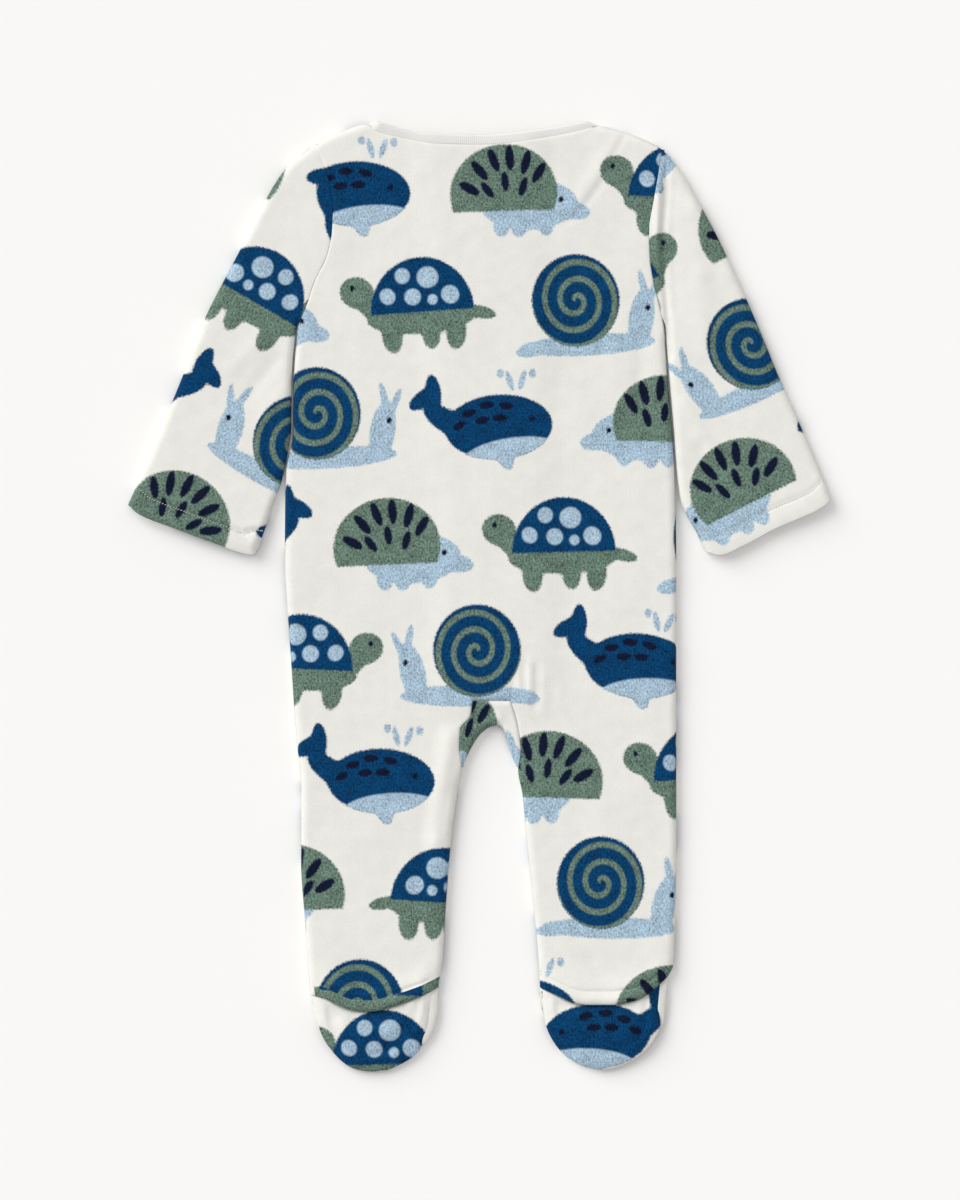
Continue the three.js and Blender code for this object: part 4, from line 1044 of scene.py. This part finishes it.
def sleeve_place(name):
    body_path, outer_path, hem_path, fold_path, shoulder = sleeve_edges(name)
    lines = sleeve_lines[name]
    down = np.array(lines["outer"][-1]) - shoulder
    down = down / np.hypot(*down)

    def plan(k, along):
        (x0, y0), (x1, y1) = body_path(along), outer_path(along)
        hem_x, hem_y = hem_path(k)
        ends = [(body_path(1)[n], outer_path(1)[n]) for n in (0, 1)]
        to_hem = along ** 2
        x = blend(x0, x1, k) + to_hem * (hem_x - blend(ends[0][0], ends[0][1], k))
        y = blend(y0, y1, k) + to_hem * (hem_y - blend(ends[1][0], ends[1][1], k))
        return x, y

    dense = np.linspace(0, 1, 200)
    folds = np.concatenate([fold_path(dense), outer_path(dense)], axis=1)
    hem_line = plan(dense, 0 * dense + 1)
    arm_y = np.linspace(UNDERARM_Y, shoulder[1], 120)
    arm_line = (side[name](arm_y), arm_y)

    def surface(k, along):
        """Plan, height of the upper layer above the middle, and distance from the hem."""
        x, y = plan(k, along)
        from_hem = distance_to(hem_line, x, y)
        hem = 1.2 * smooth((HEM_WIDTH - from_hem) / 1.0) - 0.7 * smooth((2.0 - from_hem) / 2.0)
        hem = hem + 0.7 * hump(from_hem - 0.5 * HEM_WIDTH, 3.5)
        hem = hem + 0.4 * hump(from_hem - HEM_WIDTH - 4.0, 2.2)
        groove = -1.3 * hump(from_hem - HEM_WIDTH - 0.3, 1.2)
        along_hem = x * down[1] - y * down[0]
        puckers = 0.45 * np.sin(2.1 * along_hem + np.sin(0.4 * along_hem))
        puckers = puckers * hump(from_hem - HEM_WIDTH, 3.5)
        dip = seam_dip(distance_to(arm_line, x, y), *ARMHOLE_DIP)
        upper = MIDDLE + relief(x, y) + lines["hem_relief"] * (hem + groove + puckers) - dip
        return x, y, upper, from_hem

    def place(s, t):
        round_it = s * 2
        on_top = round_it <= 1
        k = crowded(np.where(on_top, round_it, 2 - round_it), 0.62)
        along = 1 - t ** 1.45
        x, y, upper, from_hem = surface(k, along)
        turned = rounded(distance_to(folds, x, y) / EDGE_RADIUS) * (k > 0) * (k < 1)
        z = MIDDLE + np.where(on_top, upper, -MIDDLE) * turned
        fold_x, fold_y = outer_path(along)
        aside = (x - shoulder[0]) * down[1] - (y - shoulder[1]) * down[0]
        fold_aside = (fold_x - shoulder[0]) * down[1] - (fold_y - shoulder[1]) * down[0]
        from_top = (x - shoulder[0]) * down[0] + (y - shoulder[1]) * down[1]
        flat_x = np.where(on_top, aside, 2 * fold_aside - aside)
        return (x, y, z), (flat_x + lines["print_at"][0], lines["print_at"][1] - from_top)

    return place, surface


# %% [markdown]
# ## Rows of stitches
# Each hem is held by a row of cotton stitches that sink into the pile. A stitch is a small stretched ball,
# and leans to its own side, because a row of perfect ones would look printed. They all go into one mesh.

# %% A material for thread
def clouded_material(name, cloud_scale, darker, lighter, roughness):
    """A plain colour that varies a little from place to place."""
    material, tree, shader = new_material(name, {"Roughness": roughness})
    where = tree.nodes.new("ShaderNodeTexCoord").outputs["Object"]
    cloud = node(tree, "ShaderNodeTexNoise", where, None, cloud_scale, 2.0, 0.5)
    tree.links.new(mix_colour(tree, cloud, darker, lighter), shader.inputs["Base Color"])
    return material


thread = clouded_material("cotton_thread", 2500.0, (0.52, 0.56, 0.50, 1), (0.76, 0.77, 0.71, 1), 0.8)

# %% Stitches along a hem
STITCH_PITCH = 1.7
STITCH_SIZE = (0.8, 0.28, 0.3)  # half its length, width and height
STITCH_LEAN, STITCH_LEAN_CHANGE = 0.9, 0.25
HEM_LENGTH = 82


def hem_stitches(name, surface, relief_share):
    """One mesh of short threads, which lie in the groove at the top of the hem."""
    bm = bmesh.new()
    near_hem = np.linspace(0.86, 1, 80)
    spots = []
    for k in np.linspace(0.03, 0.97, int(HEM_LENGTH / STITCH_PITCH)):
        from_hem = surface(0 * near_hem + k, near_hem)[3]
        along = np.interp(-HEM_WIDTH - 0.3, -from_hem, near_hem)
        x, y, upper, _ = surface(np.array([k]), np.array([along]))
        spots.append(Vector((x[0], y[0], MIDDLE + upper[0] + 0.1 + 0.9 * relief_share)))
    for n, (spot, following) in enumerate(zip(spots, spots[1:])):
        along = (following - spot).normalized()
        turned = along.to_track_quat("X", "Z").to_matrix().to_4x4()
        size = Matrix.Diagonal((*(part * MM for part in STITCH_SIZE), 1))
        lean = Matrix.Rotation(STITCH_LEAN + STITCH_LEAN_CHANGE * math.sin(5 * n), 4, "Z")
        place = Matrix.Translation(spot * MM) @ turned @ lean @ size
        bmesh.ops.create_icosphere(bm, subdivisions=1, radius=1, matrix=place)
    stitches = add_to_scene(bm, f"hem_{name}_stitches", thread)
    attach(stitches, "root")
    return stitches


# %% Make both sleeves
SLEEVE_ROUND = 92
SLEEVE_ALONG = 132
SLEEVE_THICKNESS = 2.0

for name in ("left", "right"):
    place, surface = sleeve_place(name)
    stitches = hem_stitches(name, surface, sleeve_lines[name]["hem_relief"])
    bm = cloth(SLEEVE_ROUND, SLEEVE_ALONG, place, weld=True)
    bmesh.ops.recalc_face_normals(bm, faces=bm.faces)
    bm.normal_update()
    top_face = max(bm.faces, key=lambda face: face.calc_center_median().z)
    if top_face.normal.z < 0:
        bmesh.ops.reverse_faces(bm, faces=bm.faces)
    sleeve = finish_cloth(bm, f"sleeve_{name}_cloth", printed_plush, None, SLEEVE_THICKNESS)
    declare(sleeve, "printed_plush", f"sleeve_{name}", with_pieces=[stitches])

# %% [markdown]
# ## The soles
# Each sole is a rounded patch that starts under the rolled heel edge and ends at the toe seam. The seam
# allowance inside holds it up in a low ridge near the rim, and the heel seam pulls short puckers into it.

# %% Lines of the soles
sole_creases = [
    (-39, -262, -50, -280, -0.9, 6), (-50, -280, -68, -293, -0.8, 6), (-86, -268, -82, -288, 0.6, 7),
    (-60, -270, -62, -286, 0.5, 6), (58, -264, 62, -284, 0.6, 7), (88, -262, 80, -284, -0.7, 6),
    (104, -262, 98, -280, 0.6, 6),
]
sole_rim = {  # where the front panel shows beside the sole: from, to, width, and the outline there
    "left": (-250.0, -284.0, 3.6, [
        (-26, -244), (-26, -260.1), (-27.7, -270.4), (-31.4, -279.3), (-34.6, -283.4),
    ]),
    "right": (-242.0, -266.0, 3.2, [
        (118.9, -236), (119, -243), (118.3, -252.5), (116.2, -270.6), (112.9, -278.7),
    ]),
}
sole_print = {  # where the sole was cut from the print
    "left": (62 + 0.5 * CELL[0], 283 + 0.55 * CELL[1]),
    "right": (-78 + 2.5 * CELL[0], 267 + 0.6 * CELL[1]),
}
print("creases in the soles:", len(sole_creases))


# %% Places on a sole
SOLE_TURN = 6  # how round the sole's edges are
PUCKER_CENTRE_X = {"left": -66, "right": 78}


def rim_inset(name, y):
    """How far the sole's edge draws back, so that the front shows beside it."""
    start, end, width, _ = sole_rim[name]
    return width * smooth((start - y) / 8 + 0.5) * smooth((y - end) / 14 + 0.5)


def toe_distance(name, x, y):
    """How far a point lies inside the toe's outline."""
    across = np.linspace(toe_points[name][0][0], toe_points[name][-1][0], 240)
    return distance_to((across, toe[name](across)), x, y)


def sole_place(name):
    def place(s, t):
        share = crowded(s if name == "left" else 1 - s, 0.75)
        ankle_x = blend(side[name](ANKLE_Y), inner[name](ANKLE_Y), share)
        to_sides = np.minimum(share, 1 - share) * FOOT_WIDTH
        start = heel[name](ankle_x) + 1.4 + 3.6 * smooth((to_sides - 16) / 10)
        end = np.minimum(toe[name](ankle_x), start - 1.2)
        row = bunched(1 - t, 0.45)
        row = blend(row, smooth(row), 0.35)
        y = blend(start, end, row)
        outer, inner_edge = side[name](y), inner[name](y)
        x = blend(outer, inner_edge, share)
        to_outer, to_inner = np.abs(x - outer), np.abs(inner_edge - x)
        to_toe = toe_distance(name, x, y)
        flat = turn(to_outer, 1, SOLE_TURN) * turn(to_inner, 1, SOLE_TURN) * turn(to_toe, 1, SOLE_TURN)
        rim = np.minimum(np.minimum(to_outer, to_inner), to_toe)
        ridge = 0.45 * hump(rim - 7, 1.8) - 0.35 * hump(rim - 10.5, 2.2)
        below_lip = heel[name](x) - y
        spread = (x - PUCKER_CENTRE_X[name]) / (1 + 0.012 * np.maximum(below_lip, 0))
        puckers = 0.6 * np.sin(spread * 0.62 + 0.8 * np.sin(spread * 0.17))
        puckers = puckers * np.exp(-np.maximum(below_lip, 0) / 9) * smooth((rim - 4) / 6)
        body = 2.2 * smooth((rim - 4) / 18) * smooth((below_lip + 1) / 14)
        lift = ridge + puckers + body + 0.8 * waves(1.7 * x, 1.7 * y) + relief_of(sole_creases, x, y)
        lift = lift * smooth((below_lip + 1) / 5) - 2.7 * smooth((1.2 - below_lip) / 1.6)
        z = BACK_RIM + (TOP - 0.1 + lift - BACK_RIM) * flat
        print_x, print_y = sole_print[name]
        x = x - rim_inset(name, y) * smooth(2 * (share if name == "left" else 1 - share) - 1)
        return (x, y, z), (x + print_x, y + print_y)

    return place


# %% Places on the strip of the front beside a sole
STRIP_TUCK = 1.8  # how far it reaches under the sole
STRIP_RISE = 2.3
STRIP_PRINT = (40, 3 * CELL[1] - 2.5)
STRIP_WIDTH = 5


def rim_place(name):
    *_, inset, points = sole_rim[name]
    outline = path(points)

    def place(s, t):
        edge_x, y = outline(t)
        x = edge_x - (rim_inset(name, y) + STRIP_TUCK) * (1 - s)
        z = FRONT_RIM + STRIP_RISE * rounded(1 - s) * rim_inset(name, y) / inset
        return (x, y, z), (y + STRIP_PRINT[0], STRIP_WIDTH * s + STRIP_PRINT[1])

    return place


# %% Make both soles and strips
SOLE_ACROSS, SOLE_ALONG = 56, 40
STRIP_ACROSS, STRIP_ALONG = 14, 50
SOLE_THICKNESS, STRIP_THICKNESS = 1.2, 0.6
upper_rims = {}

for name in ("left", "right"):
    bm = cloth(STRIP_ACROSS, STRIP_ALONG, rim_place(name))
    rim = finish_cloth(bm, f"foot_rim_{name}", printed_plush, thickness=STRIP_THICKNESS)
    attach(rim, "root")
    upper_rims[name] = rim
    bm = cloth(SOLE_ACROSS, SOLE_ALONG, sole_place(name))
    sole = finish_cloth(bm, f"sole_{name}_cloth", printed_plush, thickness=SOLE_THICKNESS)
    declare(sole, "printed_soles", f"sole_{name}")

# %% [markdown]
# ## The crotch patch
# A small patch fills the notch between the legs, and gives the seat room. It lies between the back's notch
# and the top of the gap between the legs, and its free edge rolls under.

# %% Lines of the crotch patch
PATCH_END_Y = -108.5
notch_levels = np.arange(PATCH_END_Y, CROTCH_Y - 1, 4)
left_notch = [(float(inner["left"](y)) - 0.1, float(y)) for y in notch_levels]
right_notch = [(float(inner["right"](y)) + 0.1, float(y)) for y in notch_levels[::-1]]
notch_top = [(x, CROTCH_Y + 0.1) for x in (-4.4, 1.5, 7.6, 13.5, 19.6)]
gusset_seam = path(left_notch + notch_top + right_notch)
GUSSET_PRINT = (20 + 3.5 * CELL[0] - 6.8, 90 + 0.5 * CELL[1] - 4.9)
gusset_free = path([
    (-11.0, PATCH_END_Y), (-9, -104), (-4, -94), (0.5, -87.6), (5.3, -83.7), (8.6, -82.2), (11.8, -81.8),
    (14.6, -84), (15.9, -87.6), (17.5, -92), (19.4, -98), (21.6, -104), (24.2, PATCH_END_Y),
])
print("levels of the notch:", len(notch_levels))

# %% Make the crotch patch
GUSSET_ACROSS, GUSSET_ALONG = 60, 16
GUSSET_THICKNESS = 1.8


def gusset_place(s, t):
    (x0, y0), (x1, y1) = gusset_seam(s), gusset_free(s)
    across = 1 - t
    width = np.hypot(x1 - x0, y1 - y0)
    x, y = blend(x0, x1, across), blend(y0, y1, across)
    to_free, to_seam = width * (1 - across), width * across
    strip_edge = x - 8.2 + 0.38 * (y + 66.8)
    strip = 0.55 * smooth(strip_edge / 1.2) * smooth(to_seam / 4)
    height = TOP + relief(x, y) + strip - 0.5 * smooth(to_seam / 6)
    z = BACK_RIM + (height - BACK_RIM) * turn(to_free) - seam_dip(to_seam) * turn(to_free)
    under = TOP - np.minimum(z, TOP)
    return (x, y, z), (1.15 * x + GUSSET_PRINT[0], y + 1.5 * under + GUSSET_PRINT[1])


bm = cloth(GUSSET_ACROSS, GUSSET_ALONG, gusset_place)
gusset = finish_cloth(bm, "gusset_cloth", printed_plush, thickness=GUSSET_THICKNESS)
declare(gusset, "printed_plush", "crotch_gusset")

# %% [markdown]
# ## The front
# The front lies underneath, in two halves that lap over each other down the middle and close with poppers.
# Its outside rests on the table. Each half has its leg and the upper of its foot.

# %% Lines of the front
LAP_HALF = 10.0
LAP_LIFT = WALL + SEAM_GAP
front_free_levels = [  # level, the left half's free edge, the right half's
    (LAP_TOP[1], LAP_TOP[0] + LAP_HALF, LAP_TOP[0] - LAP_HALF), (-40, 21, 1),
    (LAP_FOOT[1], LAP_FOOT[0] - SEAM_GAP, LAP_FOOT[0] + SEAM_GAP),
    (-80.5, LAP_FOOT[0] - SEAM_GAP, LAP_FOOT[0] + SEAM_GAP), (-84, 5, 14.8), (-88, 0, 16.2),
    (-96, -5.3, 18.8), (-104, -9, 21.8),
] + [level for level in inner_levels if level[0] < -105]
front_free = both_sides(front_free_levels)
print("levels of the front's free edges:", len(front_free_levels))

# %% Places on a front half
FRONT_ACROSS = 44
FRONT_TORSO_ROWS = 96
FRONT_LEG_ROWS = 74
FRONT_PRINT = (30, 37)
LAP_RAMP_END, LAP_RAMP = 30, 15  # how far past the other half's edge the under half comes down again
LAP_LOW_Y, LAP_LOW = -80, 12
GAP_TOP_Y = -81


def front_place(name):
    towards = 1 if name == "left" else -1
    lap_x = LAP_TOP[0] + towards * LAP_HALF
    shoulder_x = float(side[name](SHOULDER_Y))

    def place(s, t):
        share = crowded(s, CROWDING)
        start_x = blend(shoulder_x, lap_x, share)
        row = (1 - t) * (FRONT_TORSO_ROWS + FRONT_LEG_ROWS)
        torso = np.clip(row / FRONT_TORSO_ROWS, 0, 1)
        leg = np.clip(row / FRONT_LEG_ROWS - FRONT_TORSO_ROWS / FRONT_LEG_ROWS, 0, 1)
        leg = bunched(leg, 0.35)
        foot_x = blend(side[name](ANKLE_Y), inner[name](ANKLE_Y), share)
        toe_y = np.minimum(toe[name](foot_x), heel[name](foot_x) - 2)
        in_torso = row <= FRONT_TORSO_ROWS
        y = np.where(in_torso, blend(front_top(start_x), CROTCH_Y, torso), blend(CROTCH_Y, toe_y, leg))
        outer, free = side[name](y), front_free[name](y)
        low_x = blend(outer, free, share)
        upper_x = blend(outer + (start_x - shoulder_x), low_x, smooth(2 * torso))
        x = np.where(in_torso, upper_x, low_x)
        to_side, to_free = towards * (x - outer), towards * (free - x)
        to_top = front_top(start_x) - y
        to_toe = np.where(in_torso, EDGE_RADIUS, toe_distance(name, x, y))
        flat = turn(to_side, side_turn(y)) * turn(to_free, smooth((GAP_TOP_Y - y) / 6))
        flat = flat * turn(np.minimum(to_toe, EDGE_RADIUS)) * turn(to_top, shoulder_turn(start_x))
        lift = 0.0
        if name == "right":
            past = x - front_free["left"](np.maximum(y, LAP_FOOT[1]))
            lift = LAP_LIFT * smooth((LAP_RAMP_END - past) / LAP_RAMP) * smooth((y - LAP_LOW_Y) / LAP_LOW)
        return (x, y, lift + FRONT_RIM * (1 - flat)), (FRONT_PRINT[0] - x, FRONT_PRINT[1] + y)

    return place


# %% Make both front halves
for name in ("left", "right"):
    bm = cloth(FRONT_ACROSS, FRONT_TORSO_ROWS + FRONT_LEG_ROWS, front_place(name))
    front = finish_cloth(bm, f"front_{name}_cloth", printed_plush, up=False)
    declare(front, "printed_plush", f"front_{name}", with_pieces=[upper_rims[name]])

# %% [markdown]
# ## The neck binding
# A strip of fine rib is folded over the raw neck edge and stitched down. It is smooth and thin beside the
# plush, with upright ribs about a millimetre apart, so its grid is fine enough to raise each rib.

# %% The rib's material
def rib_material():
    material, tree, shader = new_material("rib_binding", {"Roughness": 0.85, "Sheen Weight": 0.1})
    in_mm = flat_in_mm(tree)
    ribs = stripes(tree, in_mm, 0.25, 0.4)
    yarn = noise(tree, in_mm, 1.6, 2.0, 0.6)
    # The rib's colour is painted darker in the valleys between the ribs, as painted shade, and lighter on
    # their crests. The yarn noise varies the tone at random.
    shade = varied(tree, varied(tree, 0.5, ribs, 0.45), yarn, 0.20)
    colour = mix_colour(tree, shade, (0.66, 0.66, 0.635, 1), (0.93, 0.93, 0.90, 1))
    tree.links.new(colour, shader.inputs["Base Color"])
    height = calc(tree, "ADD", ribs, calc(tree, "MULTIPLY", yarn, 0.5))
    raise_surface(tree, shader, height, strength=0.3, depth=0.3)
    print(material.name, "nodes:", len(tree.nodes))
    return material


rib = rib_material()

# %% Lines of the binding
NECK_EDGE_LEFT, NECK_EDGE_RIGHT = -65.8, 69.1
back_neck_edge = curve([
    (NECK_EDGE_LEFT, 300.3), (-51.6, 295.7), (-33.5, 292.3), (2.8, 291.4), (26.9, 293.2), (51, 296.8),
    (NECK_EDGE_RIGHT, 300.1),
])
front_neck_edge = curve([
    (NECK_EDGE_LEFT, 300.3), (-57, 287.5), (-44, 275.5), (-23, 267), (2, 264), (27, 267), (48, 274.5),
    (61.5, 286), (NECK_EDGE_RIGHT, 300.1),
])
print("the binding's widest place:", round(float(back_neck_edge(0) - back_top(0)), 1), "mm")

# %% Places on the binding
FRONT_PART = 0.31
RIB_PITCH = 1.25
BINDING_LENGTH = 470.0
BINDING_OVERLAP = 0.2
BINDING_FLAT_WIDTH = 10


def binding_place(s, t):
    left_lap, right_lap = LAP_TOP[0] + LAP_HALF, LAP_TOP[0] - LAP_HALF
    on_back = (s >= FRONT_PART) & (s <= 1 - FRONT_PART)
    first, last = s / FRONT_PART, (s - 1 + FRONT_PART) / FRONT_PART
    middle = (s - FRONT_PART) / (1 - 2 * FRONT_PART)
    seam_x = np.where(
        on_back, blend(NECK_LEFT, NECK_RIGHT, crowded(np.clip(middle, 0, 1), 0.3)),
        np.where(s < FRONT_PART, blend(left_lap, NECK_LEFT, first), blend(NECK_RIGHT, right_lap, last)),
    )
    edge_x = blend(NECK_EDGE_LEFT, NECK_EDGE_RIGHT, (seam_x - NECK_LEFT) / (NECK_RIGHT - NECK_LEFT))
    seam_y = np.where(on_back, back_top(seam_x), front_top(seam_x))
    edge_y = np.where(on_back, back_neck_edge(edge_x), front_neck_edge(edge_x))
    width = np.hypot(edge_x - seam_x, edge_y - seam_y)
    away = -BINDING_OVERLAP / width
    across = away + (1 - away) * t
    x, y = blend(seam_x, edge_x, across), blend(seam_y, edge_y, across)
    from_fold = np.minimum(seam_x - NECK_LEFT, NECK_RIGHT - seam_x)
    swell = 0.22 * (1 - (2 * t - 1) ** 2) - 0.28 - 1.3 * (1 - rounded((1 - t) * width / 1.1))
    ribs = 0.15 * np.cos(2 * np.pi * s * BINDING_LENGTH / RIB_PITCH) * smooth((1 - t) * 6)
    lap_lift = LAP_LIFT * smooth((LAP_RAMP_END - (seam_x - left_lap)) / LAP_RAMP)
    lift = np.where(s > 1 - FRONT_PART, lap_lift, 0)
    bump = np.where(on_back, relief(x, y), 0)
    outer = (MIDDLE + bump + swell + ribs) * np.sqrt(smooth(from_fold / EDGE_RADIUS))
    z = MIDDLE + np.where(on_back, 1, -1) * outer + lift
    return (x, y, z), (s * BINDING_LENGTH, t * BINDING_FLAT_WIDTH)


# %% Make the binding
BINDING_ALONG = 1504
BINDING_ACROSS = 9
BINDING_THICKNESS = 1.4
BINDING_TURNED_IN = 4
bm = cloth(BINDING_ALONG, BINDING_ACROSS, binding_place)
middle_faces = [face for face in bm.faces if face.calc_center_median().z > TOP * 0.8 * MM]
bm.normal_update()
if sum(face.normal.z for face in middle_faces) < 0:
    bmesh.ops.reverse_faces(bm, faces=bm.faces)
binding = finish_cloth(bm, "neck_binding_rib", rib, None, BINDING_THICKNESS)
declare(binding, "rib_binding", "neck_binding", turned_in=BINDING_TURNED_IN)

# %% [markdown]
# ## The poppers
# Seven press studs of pale plastic close the lap. Only their caps can be seen, from underneath, so each
# keeps the frame's place and gets a rounder cap, turned as on a lathe with the spin operator.

# %% Poppers
POPPER_COUNT = 7
POPPER_TOP_Y = 246
POPPER_PITCH = 44
POPPER_STEPS = 32
popper_plastic = clouded_material(
    "popper_plastic", 300.0, (0.70, 0.70, 0.64, 1), (0.84, 0.84, 0.79, 1), 0.38,
)
popper_profile = [  # distance from the popper's middle, and height
    (0, 0.35), (1.6, 0.32), (2.0, 0.1), (2.6, 0), (4.4, 0), (4.85, 0.15), (5, 0.45), (4.8, 0.8), (4.4, 0.9),
    (1.5, 0.9), (1.5, 4.2), (1.3, 4.4), (0, 4.4),
]
for n in range(POPPER_COUNT):
    y = POPPER_TOP_Y - POPPER_PITCH * n
    bm = bmesh.new()
    ring = [bm.verts.new(Vector((radius, 0, z)) * MM) for radius, z in popper_profile]
    edges = [bm.edges.new(pair) for pair in zip(ring, ring[1:])]
    bmesh.ops.spin(
        bm, geom=ring + edges, axis=(0, 0, 1), cent=(0, 0, 0), angle=2 * math.pi, steps=POPPER_STEPS,
        use_merge=True,
    )
    bmesh.ops.remove_doubles(bm, verts=bm.verts, dist=0.005 * MM)
    bmesh.ops.recalc_face_normals(bm, faces=bm.faces)
    bmesh.ops.translate(bm, verts=bm.verts, vec=Vector((middle_x(y), y, 0)) * MM)
    popper = add_to_scene(bm, f"popper_{n + 1}_cap", popper_plastic)
    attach(popper, "root")
    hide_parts(f"popper_{n + 1}")
